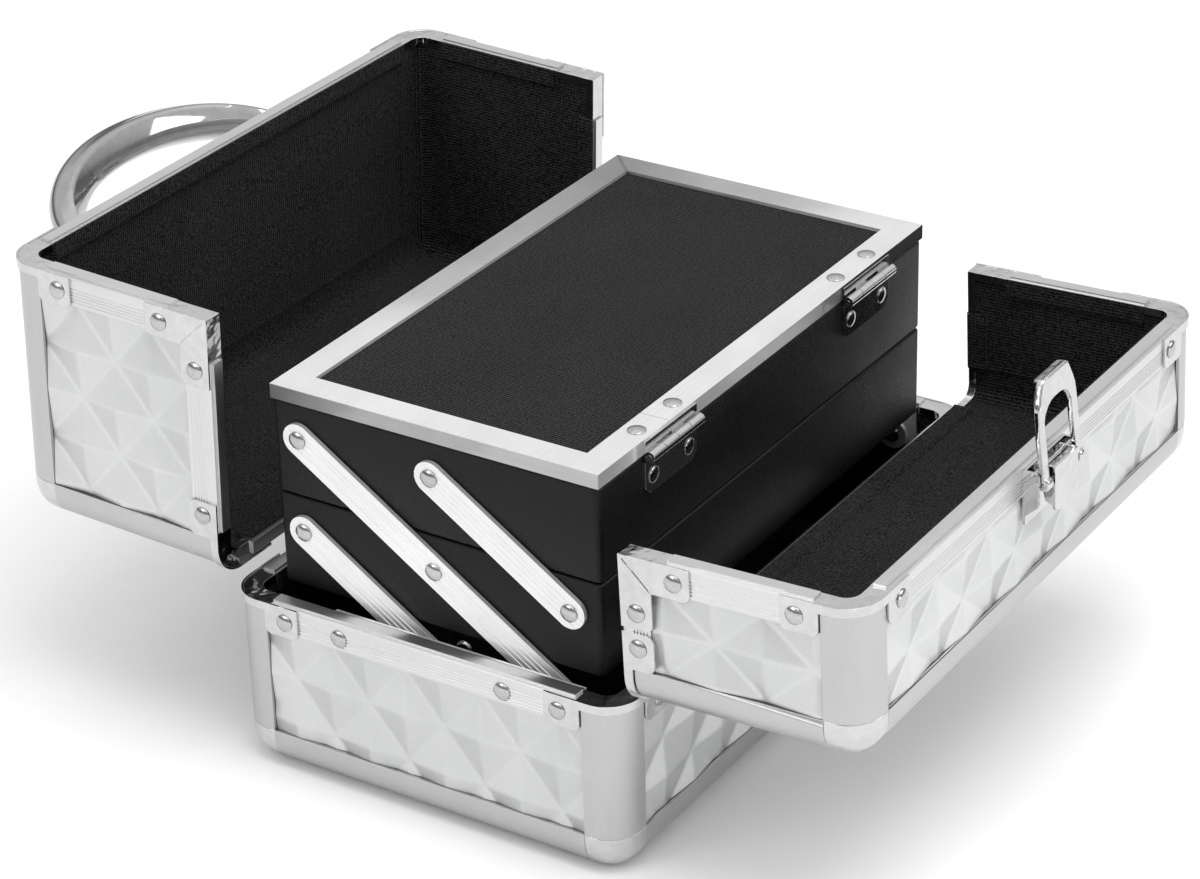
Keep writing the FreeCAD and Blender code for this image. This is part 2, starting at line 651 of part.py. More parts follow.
# ---------------------------------------------------------------- handle
def make_handle():
    """A chromed bail handle on two eared mounts on the rear shell's top wall."""
    pivot = Vector(0, HANDLE_Y, CLOSED_HEIGHT + HANDLE_UP)
    ellipse = Part.Ellipse(ORIGIN, HANDLE_HALF, HANDLE_RISE)
    start = math.asin(HANDLE_LEG_START / HANDLE_RISE)
    path = Part.Wire([Part.ArcOfEllipse(ellipse, start, math.pi - start).toShape()])
    sections = []
    for turn, (in_plane, across) in ((start, HANDLE_LEG), (math.pi / 2, HANDLE_GRIP),
                                     (math.pi - start, HANDLE_LEG)):
        middle = Vector(HANDLE_HALF * math.cos(turn), HANDLE_RISE * math.sin(turn), 0)
        tangent = Vector(-HANDLE_HALF * math.sin(turn), HANDLE_RISE * math.cos(turn), 0)
        outward = tangent.normalize().cross(Z)
        if in_plane < across:
            curve = Part.Ellipse(middle + Z * across, middle + outward * in_plane, middle)
        else:
            curve = Part.Circle(middle, tangent, in_plane)
        sections.append(Part.Wire([curve.toShape()]))
    grip = path.makePipeShell(sections, True, True)
    half = HANDLE_EYE_WIDE / 2
    eyes = []
    for side in (-1, 1):
        x = side * HANDLE_HALF
        eyes.append(cylinder(HANDLE_EYE_R, Vector(x - half, 0, 0), Vector(x + half, 0, 0)))
        eyes.append(block((x - half, x + half), (0, HANDLE_LEG_START + HANDLE_NECK[0]),
                          (-HANDLE_NECK[1], HANDLE_NECK[1])))
    bore = cylinder(HANDLE_PIN_R + RUNNING, X * -100, X * 100)
    grip = grip.fuse(eyes).cut(bore)
    grip = grip.rotated(ORIGIN, X, 90 + HANDLE_LEAN).translated(pivot)

    mounts = []
    skin_top = CLOSED_HEIGHT - SKIN_FACE
    for middle in (-HANDLE_HALF, HANDLE_HALF):
        foot = block((middle - FOOT_HALF[0], middle + FOOT_HALF[0]),
                     (HANDLE_Y - FOOT_HALF[1], HANDLE_Y + FOOT_HALF[1]),
                     (skin_top, skin_top + FOOT_THICK))
        foot = foot.makeFillet(FOOT_ROUND, [e for e in foot.Edges if e.Length < FOOT_THICK + 0.01])
        ears = []
        for side in (-1, 1):
            face = middle + side * (half + EAR_PLAY)
            x_span = sorted((face, face + side * EAR_THICK))
            ears.append(cylinder(EAR_R, Vector(x_span[0], HANDLE_Y, pivot.z),
                                 Vector(x_span[1], HANDLE_Y, pivot.z)))
            ears.append(block(x_span, (HANDLE_Y - EAR_R, HANDLE_Y + EAR_R),
                              (skin_top + FOOT_THICK / 2, pivot.z)))
        reach = half + EAR_PLAY + EAR_THICK
        ends = [Vector(middle + side * reach, HANDLE_Y, pivot.z) for side in (-1, 1)]
        pin = rivet(ends[1], X, 2 * reach, *PIN_HEAD, HANDLE_PIN_R)
        other_head = rivet(ends[0], -X, reach, *PIN_HEAD, HANDLE_PIN_R)
        pin = pin.fuse(other_head).removeSplitter()
        hole = cylinder(HANDLE_PIN_R, *ends)
        mounts += [foot.fuse(ears).cut(hole).removeSplitter(), pin]
    export("handle_mounts", rear_open(mounts))
    export("handle_grip", rear_open([grip]))


# ---------------------------------------------------------------- latch
def latch_point(x, y, height):
    return Vector(x, y, CLOSED_HEIGHT + height)


def make_latch():
    """The draw latch: a channel base, a lever and its sprung loop on the front shell,
    and the keeper on the rear shell. Returns the base's rivets and the keeper's."""
    y0, y1 = LATCH_Y
    cheek_in = LATCH_HALF - LATCH_SHEET
    lever_y, lever_h = LEVER_PIVOT
    loop_y, loop_h = LOOP_PIVOT
    side = latch_point(0, 0, 0).z
    plate = block((-LATCH_HALF, LATCH_HALF), (y0, y1), (side, side + LATCH_SHEET))
    cheeks = []
    for s in (-1, 1):
        outline = [(y0 + 3, LATCH_SHEET), (y0 + 7, CHEEK_HIGH), (y1 - 1.2, CHEEK_HIGH),
                   (y1, CHEEK_HIGH - 1.2), (y1, LATCH_SHEET)]
        cheeks.append(prism([latch_point(s * cheek_in, p, q) for p, q in outline],
                            X * s * LATCH_SHEET))
    lever_pin = cylinder(LATCH_PIN_R, latch_point(-LATCH_HALF - 0.6, lever_y, lever_h),
                         latch_point(LATCH_HALF + 0.6, lever_y, lever_h))
    base = plate.fuse(cheeks).cut(lever_pin).removeSplitter()

    sides = []
    for s in (-1, 1):
        outline = [(LEVER_Y[0] + 1.5, 4.8), (LEVER_Y[0], LEVER_TOP), (LEVER_Y[1], LEVER_TOP),
                   (LEVER_Y[1], LEVER_HIGH + 0.4), (lever_y - 1.8, LEVER_HIGH),
                   (loop_y - 1.8, LEVER_HIGH + 1.9)]
        sides.append(prism([latch_point(s * LEVER_HALF, p, q) for p, q in outline],
                           -X * s * LATCH_SHEET))
    front = block((-LEVER_HALF, LEVER_HALF), (LEVER_Y[0] - LEVER_OVERHANG, LEVER_Y[1]),
                  (side + LEVER_TOP - LATCH_SHEET, side + LEVER_TOP))
    corners = [e for e in front.Edges
               if e.Length < LATCH_SHEET + 0.01 and e.Vertexes[0].Point.y < LEVER_Y[0]]
    front = front.makeFillet(LEVER_ROUND, corners)
    bores = [cylinder(LATCH_PIN_R + RUNNING, latch_point(-20, p, q), latch_point(20, p, q))
             for p, q in (LEVER_PIVOT, LOOP_PIVOT)]
    lever = front.fuse(sides).cut(bores).removeSplitter()

    loop_pin = cylinder(LATCH_PIN_R, latch_point(-LOOP_HALF, loop_y, loop_h),
                        latch_point(LOOP_HALF, loop_y, loop_h))
    loop = make_loop()

    x, y = BASE_RIVET_AT
    rivet_spots = [(latch_point(s * x, y0 + y, LATCH_SHEET), Z, LATCH_SHEET + BOARD_BACK)
                   for s in (-1, 1)]
    low, high = KEEPER_Y
    keeper = block((-KEEPER_HALF, KEEPER_HALF), (low, high), (side, side + SHEET))
    shorter, ridge_wide, ridge_high = KEEPER_RIDGE
    ridge = block((-KEEPER_HALF + shorter, KEEPER_HALF - shorter), (high - ridge_wide, high),
                  (side, side + ridge_high))
    x, y = KEEPER_RIVET_AT
    keeper_spots = [(latch_point(s * x, low + y, SHEET), Z, SHEET + BOARD_BACK)
                    for s in (-1, 1)]
    base_holes = [shank(*spot) for spot in rivet_spots]
    keeper_holes = [shank(*spot) for spot in keeper_spots]
    export("latch_base", front_open(drilled(base, base_holes) + [lever_pin]))
    export("latch_lever", front_open([lever]))
    export("latch_loop_pin", front_open([loop_pin]))
    export("latch_loop", front_open([loop]))
    export("latch_keeper", rear_open(drilled(keeper.fuse(ridge).removeSplitter(),
                                             keeper_holes)))
    base_rivets = [rivet(*spot, *BASE_RIVET) for spot in rivet_spots]
    keeper_rivets = [rivet(*spot, *KEEPER_RIVET) for spot in keeper_spots]
    return base_rivets, base_holes, keeper_rivets, keeper_holes


def make_loop():
    """The latch loop: a plate with a window, a house-shaped head and a lip that hooks
    behind the keeper. Drawn flat along +Y from its pivot, then leaned and placed."""
    outer = [(-LOOP_HALF, -LOOP_FOOT), (-LOOP_HALF, LOOP_SHOULDER),
             (-LOOP_TOP_HALF, LOOP_LENGTH), (LOOP_TOP_HALF, LOOP_LENGTH),
             (LOOP_HALF, LOOP_SHOULDER), (LOOP_HALF, -LOOP_FOOT)]
    inner = LOOP_HALF - LOOP_BAR
    across, down = WINDOW_CORNER
    window = [(-inner, -2 * LOOP_FOOT), (-inner, LOOP_SHOULDER - down),
              (-inner + across, LOOP_SHOULDER), (inner - across, LOOP_SHOULDER),
              (inner, LOOP_SHOULDER - down), (inner, -2 * LOOP_FOOT)]
    low = -LOOP_THICK / 2
    plate = prism([Vector(p, q, low) for p, q in outer], Z * LOOP_THICK)
    plate = plate.cut(prism([Vector(p, q, low - 1) for p, q in window],
                            Z * (LOOP_THICK + 2)))
    lip = block((-LOOP_TOP_HALF, LOOP_TOP_HALF), (LOOP_LENGTH - LIP_THICK, LOOP_LENGTH),
                (LOOP_THICK / 2 - LOOP_LIP, LOOP_THICK / 2))
    eyes = []
    for s in (-1, 1):
        start, end = sorted((s * inner, s * LOOP_HALF))
        eyes.append(cylinder(LOOP_EYE_R, Vector(start, 0, 0), Vector(end, 0, 0)))
    bore = cylinder(LATCH_PIN_R + RUNNING, X * -2 * LOOP_HALF, X * 2 * LOOP_HALF)
    loop = plate.fuse([lip] + eyes).cut(bore).removeSplitter()
    loop = loop.rotated(ORIGIN, X, -LOOP_LEAN)
    return loop.translated(latch_point(0, *LOOP_PIVOT))


# ---------------------------------------------------------------- arms and trays
def arm(pivots):
    """A flat ribbed arm with round ends, drawn along its own X from the first pivot
    and then leaned back to its stowed angle on the +X end of the case."""
    first, last = pivots[0], pivots[-1]
    half = ARM_WIDTH / 2
    length = ARM_SPAN * (last - first)
    bar = block((0, length), (-half, half), (0, ARM_THICK))
    ends = [Part.makeCylinder(half, ARM_THICK, Vector(x, 0, 0)) for x in (0, length)]
    bar = bar.fuse(ends).removeSplitter()
    deep = ARM_GROOVE_DEEP
    tools = []
    for y in ARM_GROOVES:
        spots = [(y - deep, ARM_THICK + 0.01), (y, ARM_THICK - deep),
                 (y + deep, ARM_THICK + 0.01)]
        tools.append(prism([Vector(-half, p, q) for p, q in spots],
                           X * (length + ARM_WIDTH)))
    tools += [Part.makeCylinder(SHANK_R + RUNNING, ARM_THICK + 2,
                                Vector(ARM_SPAN * (p - first), 0, -1)) for p in pivots]
    bar = bar.cut(tools)
    turn = FreeCAD.Rotation(Y, Z, X, "ZXY")
    bar.Placement = FreeCAD.Placement(Vector(ARM_FACE, 0, 0), turn)
    return bar.rotated(ORIGIN, X, ARM_RISE)


def make_arms():
    """At each end: the long arm from the base to both trays, a short arm from the
    base to the lower tray and a short arm from the lower tray to the upper one."""
    long_arm = arm((0, 1, 2)).translated(Vector(0, -PIVOT_STEP_Y, PIVOT_Z))
    lower = arm((0, 1)).translated(Vector(0, 0, PIVOT_Z))
    upper = arm((0, 1)).translated(Vector(0, -PIVOT_STEP_Y, PIVOT_Z + TRAY_PITCH))
    for name, piece in (("long_arm", long_arm), ("lower_short_arm", lower),
                        ("upper_short_arm", upper)):
        export(name + "_right", piece)
        export(name + "_left", mirrored(piece))


def make_tray(name, bottom, pivot_ys, pivot_z, hinge_holes):
    """An open tray of five boards, with its cloth lining and its pivot rivets."""
    half_x, half_y = TRAY_LENGTH / 2, TRAY_DEPTH / 2
    top = bottom + TRAY_HEIGHT
    inner_x, inner_y = half_x - TRAY_WALL, half_y - TRAY_WALL
    floor_top = bottom + TRAY_FLOOR
    floor = block((-half_x, half_x), (-half_y, half_y), (bottom, floor_top))
    long_board = block((-half_x, half_x), (-half_y, -inner_y), (floor_top, top))
    end_board = block((inner_x, half_x), (-inner_y, inner_y), (floor_top, top))
    boards = [floor] + front_and_back([long_board]) + both_ends(end_board)
    cloth = block((-inner_x, inner_x), (-inner_y, inner_y), (floor_top, top))
    hollow = block((-inner_x + TRAY_CLOTH, inner_x - TRAY_CLOTH),
                   (-inner_y + TRAY_CLOTH, inner_y - TRAY_CLOTH),
                   (floor_top + TRAY_CLOTH, top + 1))
    rivets = []
    for y in pivot_ys:
        head = Vector(ARM_FACE + ARM_THICK + 0.1, y, pivot_z)
        rivets.append(rivet(head, X, head.x - inner_x))
    rivets = both_ends(rivets)
    holes = both_ends([shank(Vector(ARM_FACE, y, pivot_z), X, ARM_FACE - inner_x)
                       for y in pivot_ys])
    export(name + "_boards", drilled(boards, holes + hinge_holes))
    export(name + "_lining", cloth.cut(hollow))
    export(name + "_rivets", rivets)


# ---------------------------------------------------------------- tray lid
def make_tray_lid():
    """The upper tray's lid: a mitred aluminium frame round a cloth panel, with a
    mirror underneath, on two small butt hinges along the latch side."""
    half_x, half_y = LID_LENGTH / 2, LID_DEPTH / 2
    sheet = LID_SHEET

    def frame_bar(start, end, inward):
        profile = [(0, 0), (LID_FRAME, 0), (LID_FRAME, sheet), (sheet, sheet),
                   (sheet, LID_TOP - LID_BOTTOM), (0, LID_TOP - LID_BOTTOM)]
        bar = prism([start + inward * u - Z * v for u, v in profile], end - start)
        along = (end - start).normalize()
        for point, away in ((start, -along), (end, along)):
            wedge = [point + away, point + away + inward * 30 - away * 30,
                     point + away + inward * 30 + away * 30, point + away * 30]
            shifted = [p - away + Z for p in wedge]
            bar = bar.cut(prism(shifted, -Z * 10))
        return bar

    corner = Vector(-half_x, -half_y, LID_TOP)
    long_bar = frame_bar(corner, corner + X * LID_LENGTH, Y)
    end_bar = frame_bar(corner, corner + Y * LID_DEPTH, X)
    joint = block((-TRAY_HINGE_X - 0.1, -TRAY_HINGE_X + 0.1), (-80, -40), (120, 140))
    front_bars = long_bar.cut(joint).Solids
    bars = front_bars + [long_bar.mirror(ORIGIN, Y)] + both_ends(end_bar)

    inset = sheet + 0.05
    under = LID_TOP - sheet
    panel = block((inset - half_x, half_x - inset), (inset - half_y, half_y - inset),
                  (under - PANEL_THICK, under))
    mirror = block((MIRROR_INSET - half_x, half_x - MIRROR_INSET),
                   (MIRROR_INSET - half_y, half_y - MIRROR_INSET),
                   (LID_BOTTOM, under - PANEL_THICK))

    lid_rivets, lid_holes, tray_rivets, tray_holes = [], [], [], []
    for x in (TRAY_HINGE_X - TRAY_RIVET_X, TRAY_HINGE_X + TRAY_RIVET_X):
        on_lid = (Vector(x, LID_RIVET_Y, LID_TOP), Z, sheet + PANEL_THICK)
        on_tray = (Vector(x, -TRAY_DEPTH / 2 - TRAY_LEAF, TRAY_RIVET_Z), -Y,
                   TRAY_LEAF + TRAY_WALL)
        lid_rivets.append(rivet(*on_lid, *LID_RIVET))
        lid_holes.append(shank(*on_lid))
        tray_rivets.append(rivet(*on_tray, *TRAY_RIVET))
        tray_holes.append(shank(*on_tray))
    lid_holes, tray_holes = both_ends(lid_holes), both_ends(tray_holes)
    export("tray_lid_frame", drilled(bars, lid_holes))
    export("tray_lid_panel", drilled(panel, lid_holes))
    export("tray_lid_mirror", mirror)
    export("tray_lid_rivets", both_ends(lid_rivets))
    make_tray_hinges(tray_holes, both_ends(tray_rivets))
    return tray_holes


def make_tray_hinges(holes, rivets):
    """Small butt hinges: one leaf on the tray's face, one on the lid frame's side."""
    centre = Vector(TRAY_HINGE_X, TRAY_HINGE_Y, TRAY_HINGE_Z)
    half = TRAY_HINGE_WIDE / 2
    on_tray, on_lid = knuckle_spans(TRAY_HINGE_WIDE, 4, 0.25)
    bore = cylinder(TRAY_PIN_R + RUNNING, centre - X * TRAY_HINGE_WIDE,
                    centre + X * TRAY_HINGE_WIDE)

    def barrels(spans, face, toward):
        pieces = []
        for low, high in spans:
            pieces.append(cylinder(TRAY_KNUCKLE_R, centre + X * low, centre + X * high))
            pieces.append(block((centre.x + low, centre.x + high),
                                (face - TRAY_LEAF, face - 0.15),
                                (centre.z, centre.z + toward * (TRAY_KNUCKLE_R + 0.6))))
        return pieces

    face = -TRAY_DEPTH / 2
    plate_top = centre.z - TRAY_KNUCKLE_R - PLATE_CLEAR
    plate = prism([Vector(centre.x + p, face, q) for p, q in (
        (-half, plate_top), (half, plate_top), (half, LEAF_TAPER),
        (half - LEAF_CORNER, LEAF_LOW), (LEAF_CORNER - half, LEAF_LOW),
        (-half, LEAF_TAPER))], -Y * TRAY_LEAF)
    tray_leaf = plate.fuse(barrels(on_tray, face, -1)).cut(bore).removeSplitter()
    side = -LID_DEPTH / 2
    plate = block((centre.x - half, centre.x + half), (side - TRAY_LEAF, side),
                  (centre.z + TRAY_KNUCKLE_R + PLATE_CLEAR, LID_TOP - 0.6))
    lid_leaf = plate.fuse(barrels(on_lid, side, 1)).cut(bore).removeSplitter()
    pin = cylinder(TRAY_PIN_R, centre - X * half, centre + X * half)
    export("tray_hinge_leaves", both_ends(drilled(tray_leaf, holes) + [pin]))
    export("tray_hinge_rivets", rivets)
    export("tray_lid_hinge_leaves", both_ends(lid_leaf))


# ---------------------------------------------------------------- assembly
os.makedirs("parts", exist_ok=True)
make_base()
base_rivets, base_holes, keeper_rivets, keeper_holes = make_latch()
rear_rivets = make_shell("rear_lid", 1, REAR_EDGE, rear_open, keeper_holes)
export("rear_lid_rivets", rear_open(rear_rivets + keeper_rivets))
front_rivets = make_shell("front_lid", -1, FRONT_EDGE, front_open, base_holes)
export("front_lid_rivets", front_open(front_rivets + base_rivets))
make_lid_hinges("rear", 1, rear_open)
make_lid_hinges("front", -1, front_open)
make_handle()
make_arms()
hinge_holes = make_tray_lid()
make_tray("lower_tray", TRAY_BOTTOM, (0, PIVOT_STEP_Y, -PIVOT_STEP_Y),
          PIVOT_Z + TRAY_PITCH, [])
make_tray("upper_tray", TRAY_BOTTOM + TRAY_PITCH, (PIVOT_STEP_Y, 0),
          PIVOT_Z + 2 * TRAY_PITCH, hinge_holes)
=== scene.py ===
import json
import math

import bmesh
import bpy
import numpy as np
from mathutils import Matrix, Vector, noise


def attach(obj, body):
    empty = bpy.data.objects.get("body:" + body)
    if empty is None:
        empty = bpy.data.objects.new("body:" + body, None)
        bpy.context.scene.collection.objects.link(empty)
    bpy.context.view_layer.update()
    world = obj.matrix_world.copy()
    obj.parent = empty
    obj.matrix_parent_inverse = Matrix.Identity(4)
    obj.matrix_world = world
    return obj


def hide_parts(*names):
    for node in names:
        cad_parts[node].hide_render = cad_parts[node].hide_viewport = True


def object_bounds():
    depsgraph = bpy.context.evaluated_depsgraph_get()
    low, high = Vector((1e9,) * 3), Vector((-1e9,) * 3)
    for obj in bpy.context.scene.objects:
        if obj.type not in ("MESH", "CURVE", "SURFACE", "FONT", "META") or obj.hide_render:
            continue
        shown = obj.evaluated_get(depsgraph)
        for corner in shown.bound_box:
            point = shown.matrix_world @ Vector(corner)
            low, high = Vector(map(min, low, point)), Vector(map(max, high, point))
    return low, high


# Makeup train case. Metres, in the CAD's frame: X runs along the case, the latch side
# faces -Y and +Z is up. The lid shells are worked out closed, where their walls are
# square to the axes, and are then turned open about their own hinges.

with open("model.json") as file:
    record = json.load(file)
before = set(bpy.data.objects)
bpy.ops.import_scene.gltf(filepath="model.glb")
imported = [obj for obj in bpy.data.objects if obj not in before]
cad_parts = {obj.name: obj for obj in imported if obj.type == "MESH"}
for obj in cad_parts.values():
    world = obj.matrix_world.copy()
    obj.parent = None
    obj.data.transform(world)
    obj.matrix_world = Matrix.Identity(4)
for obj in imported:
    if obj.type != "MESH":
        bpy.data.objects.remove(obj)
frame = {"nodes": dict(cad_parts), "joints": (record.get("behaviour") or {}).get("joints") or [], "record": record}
CAD_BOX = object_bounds()
MM = 0.001
UNTURNED = Matrix.Identity(4)

# ---------------------------------------------------------------- sizes of the details
WELD = 2e-6                # points of a CAD mesh this close, in metres, are one point
FLAT_ENOUGH = 0.6          # faces that meet at less than this many degrees are one

# Embossed skins
PYRAMID = (17.0, 14.4)     # half diagonals of one embossed pyramid, mm
PYRAMID_TURN = 0.002       # how softly its ridges turn
VALLEY_TURN = 0.015        # and its valleys
FACET_LEAN = 3.1           # how much further than their relief the facets are shaded
FACET_UPRIGHT = 0.8        # normals nearer to the wall's own than this are facets
SKIN_PEAK = 0.2 * MM       # pyramid tips, in from the outer face of the aluminium
SKIN_VALLEY = 1.5 * MM
SKIN_BACK = 1.6 * MM
SKIN_CELL = 0.8 * MM       # spacing of the skin's points
SKIN_GAP = 0.12 * MM       # dark line between a skin and the flange beside it
FACE_REACH = 0.05 * MM     # points this near to a wall's outer face lie on it

# Linings
CLOTH = 0.5 * MM
CLOTH_BEND = 5.6 * MM      # radius of the inner corners
CLOTH_STEP = 4.0 * MM      # spacing of the cloth's points
CLOTH_WELD = 0.12 * MM     # points of neighbouring walls this close are one point
CLOTH_WAVE = 0.10 * MM     # slight unevenness
CLOTH_WAVES = (38.0, 90.0)     # its two scales, to the metre
SEAM_AT = 12.5 * MM        # faint crease, from an inner corner
SEAM_HIGH = 0.35 * MM
SEAM_WIDE = 0.8 * MM
RIM_REACH = 11.6           # from a lining's corner to where the rim extrusion starts, mm
RIM_SETBACK = 1.4          # how much further it starts from a corner that is open, mm
RIM_EASE = 0.5             # half the length over which the wrap begins there, mm
LEG_REACH = 3.2            # from a lining's open edge to the foot of the inner leg, mm
LEG_FOOT = 0.9             # the wrap's slope starts this far below the foot, mm
LEG_SLOPE = 0.7            # and is this long, mm
LEG_WRAP = 1.35 * MM       # how far the cloth steps in over the leg
LEG_RISE = 2.7 * MM        # and how far it runs on up to the rim's shoulder
LEG_RISE_FADE = 1.2        # reach of that rise from the open edge, mm
# Extra lines of points in mm: across a seam, each side of where a rim starts, and in from
# an open edge.
SEAM_LINES = (-1.6, -0.8, 0, 0.8, 1.6)
RIM_LINES = (RIM_REACH - 0.5, RIM_REACH + 0.5)
LEG_LINES = (0.5, 1.6, LEG_REACH - 0.4, LEG_REACH + 0.2, LEG_REACH + 0.9,
             RIM_REACH + 0.9, RIM_REACH + 1.9)
BEND_LINES = 6             # lines round a bend
LEAST_LINE_GAP = 0.25 * MM     # lines nearer than this to the last one are left out
FAR = 1.0                  # beyond any wall, metres

# Trays and tray lid
TRAY_WALL = 3.2 * MM
TRAY_FLOOR = 3.0 * MM
TRAY_CORNER = 2.2 * MM     # radius of the outer upright corners
TRAY_CORNER_LEAST = 0.4 * MM
TRAY_FOOT = 1.1 * MM       # radius round the bottom
TRAY_BRIM = 0.9 * MM       # height of the rounded top of the walls
TRAY_CLOTH = 0.4 * MM
TRAY_CLOTH_BEND = 2.0 * MM
LID_CLOTH_STEP = 3.0 * MM
LID_CLOTH_DROP = 0.25 * MM     # how far the lid's cloth falls at its edge
LID_CLOTH_ROLL = 4.0 * MM      # and over what width
LID_CLOTH_WAVE = 0.05 * MM
LID_CLOTH_WAVES = 45.0

# Handle, in mm
HANDLE_LEAN = 13.0         # degrees past upright
HANDLE_HALF = 58.0         # from the middle to a pin
HANDLE_RISE = 43.0         # from the pins to the middle line of the grip
LEG_SIZE = (5.0, 5.0)      # section at the legs: in the bail's plane, and across it
GRIP_SIZE = (7.2, 8.4)     # section at mid grip
GRIP_START = 5.6           # height over the pins at which the half ellipse starts
GRIP_STEPS = 72
GRIP_FULLNESS = 0.8        # power of the swelling towards mid grip; lower is fuller
# Its section, as shares of the half thickness, and how much more each is at mid grip.
CREASE, CREASE_MORE = 97, 8        # degrees from outermost to the ridge down each side
HOLLOW, HOLLOW_MORE = 0.09, 0.05
FINGER_FACE, FINGER_MORE = 1.0, 0.16
FINGER_DIP, DIP_AT, DIP_SPREAD = 0.10, 0.75, 0.2   # the finger face's dip near a leg
SWELL_SPREAD = 0.42        # reach of those extras, as a share of the way to a leg
SECTION_BEND = 1.5         # power of the hollow's and the finger face's curve
OUTER_STEPS, INNER_STEPS = 40, 24
# The shrinking stations from a leg down into its eye: height, reach in plane and across.
LEG_STATIONS = ((4.6, 3.5, 3.6), (2.0, 3.4, 3.2), (0.0, 3.4, 3.0))
HANDLE_EYE = (4.15, 3.5, 2.06, 0.6)   # radius, half width, bore radius, rounding

# Latch loop, in mm
LOOP_LEAN = 5.4            # degrees
LOOP_THICK = 2.5
LOOP_ROUND = 0.75          # rounding of the bar's edges
LOOP_EYE = (2.35, 1.65, 0.96, 0.7)    # radius, half width, bore radius, rounding
LOOP_EYE_AT = 10.9
# One half of the loop from its foot to its middle: outer point and inner point.
LOOP_STATIONS = [((12.6, 0), (9.2, 0)), ((12.6, 8), (9.3, 8)), ((12.6, 16), (9.4, 16)),
                 ((12.55, 21), (9.4, 19.5)), ((12.2, 24.6), (8.6, 21.6)),
                 ((11.2, 27.4), (6.4, 23.6)), ((9.7, 30.6), (4.2, 24.6)),
                 ((8.7, 32.4), (2.4, 24.9)), ((7.4, 33.0), (1.2, 25.0))]
# The hook's section, and how each of its points moves in at the trimmed ends.
HOOK_SECTION = ((33.0, 0.9, -1, -1), (31.5, 0.9, 1, -1), (31.3, -1.0, 1, 0),
                (31.4, -2.3, 1, 1), (32.0, -2.6, 0, 1), (32.7, -2.3, -1, 1),
                (33.0, -1.0, -1, 0))
HOOK_ENDS = ((-8.1, 0.5), (-7.6, 0.0), (7.6, 0.0), (8.1, 0.5))   # along X, and trim

# Folds of the square brackets, in mm
FOLD_FROM, FOLD_TO = 1.2, 10.8     # reach from the bracket's corner
FOLD_WIDE, FOLD_HIGH = 0.7, 0.14
FOLD_SUNK = 0.3            # how deep the bead is let into the bracket
FOLD_TAPER = 0.4           # length of its sloping ends
FOLD_SHOULDER = 0.9        # its width at the surface, to its width below
FOLD_FACES = [[0, 1, 5, 4], [0, 4, 6, 2], [1, 3, 7, 5], [2, 6, 9, 8], [3, 8, 9, 7],
              [0, 2, 8, 3, 1], [4, 5, 7, 9, 6]]

# Nodes with these endings get a new shape. The others keep theirs, and their sharp edges
# are broken by these widths, in mm, by what their names hold. The first that fits counts.
REMADE = ("_skins", "_lining", "tray_boards", "tray_lid_panel", "handle_grip",
          "latch_loop")
EDGE_WIDTHS = {
    "rim_extrusions": 0.10, "edge_extrusions": 0.12, "rim_brackets": 0.45,
    "square_brackets": 0.30, "ball_corners": 0.3, "corner_posts": 0.12,
    "bottom_edges": 0.12, "arm_strips": 0.25, "strip_rivets": 0.12,
    "leaves": 0.2, "rivets": 0.12, "handle_mounts": 0.3, "latch": 0.3, "arm_": 0.3,
    "frame": 0.3, "mirror": 0.4, "boards": 0.2, "underside": 0.4, "hinge": 0.2,
}
EDGE_WIDTH_ELSE = 0.2
EDGE_ANGLE = 32            # degrees; edges that turn by more than this are broken
EDGE_SEGMENTS = 2
ARM_SLOPE = math.atan2(33, 50)     # the arms' lean, which their brushing follows

# ---------------------------------------------------------------- camera
IMAGE_WIDE = 1200
FOCAL_PIXELS = 3653.6
SENSOR = 36.0
CAMERA_AT = Vector((-0.896417, -0.582026, 0.650351))
YAW, PITCH, ROLL = 0.5796977, 0.4870563, -0.0289359    # radians
NEAR_CLIP = 0.01


def in_scene(thing):
    bpy.context.scene.collection.objects.link(thing)
    return thing


def make_camera():
    """A level camera turned by its yaw, pitch and roll."""
    ahead = Vector((math.cos(PITCH) * math.cos(YAW), math.cos(PITCH) * math.sin(YAW),
                    -math.sin(PITCH)))
    side = ahead.cross(Vector((0, 0, 1))).normalized()
    above = side.cross(ahead)
    right = math.cos(ROLL) * side + math.sin(ROLL) * above
    up = math.cos(ROLL) * above - math.sin(ROLL) * side
    data = bpy.data.cameras.new("camera")
    data.sensor_width = SENSOR
    data.lens = FOCAL_PIXELS / IMAGE_WIDE * SENSOR
    data.clip_start = NEAR_CLIP
    camera = in_scene(bpy.data.objects.new("camera", data))
    turn = Matrix((right, up, -ahead)).transposed().to_4x4()
    camera.matrix_world = Matrix.Translation(CAMERA_AT) @ turn
    bpy.context.scene.camera = camera


# ---------------------------------------------------------------- shader nodes
def add(tree, kind, props=None, **sockets):
    """A shader node with its properties set and its inputs set or linked."""
    made = tree.nodes.new("ShaderNode" + kind)
    for key, value in (props or {}).items():
        setattr(made, key, value)
    for key, value in sockets.items():
        socket = made.inputs[key.replace("_", " ")]
        if isinstance(value, bpy.types.NodeSocket):
            tree.links.new(value, socket)
        else:
            socket.default_value = value
    return made


def ramp(tree, factor, *stops):
    """A colour ramp: stops are (position, grey or colour)."""
    made = add(tree, "ValToRGB", Fac=factor)
    while len(made.color_ramp.elements) < len(stops):
        made.color_ramp.elements.new(0.5)
    for element, (position, colour) in zip(made.color_ramp.elements, stops):
        element.position = position
        rgb = colour if isinstance(colour, tuple) else (colour,) * 3
        element.color = rgb + (1,)
    return made.outputs["Color"]


def spread(tree, value, low, high, usual=(0.3, 0.7)):
    """A texture value, usually between two others, brought into a span."""
    return add(tree, "MapRange", Value=value, From_Min=usual[0], From_Max=usual[1],
               To_Min=low, To_Max=high).outputs["Result"]


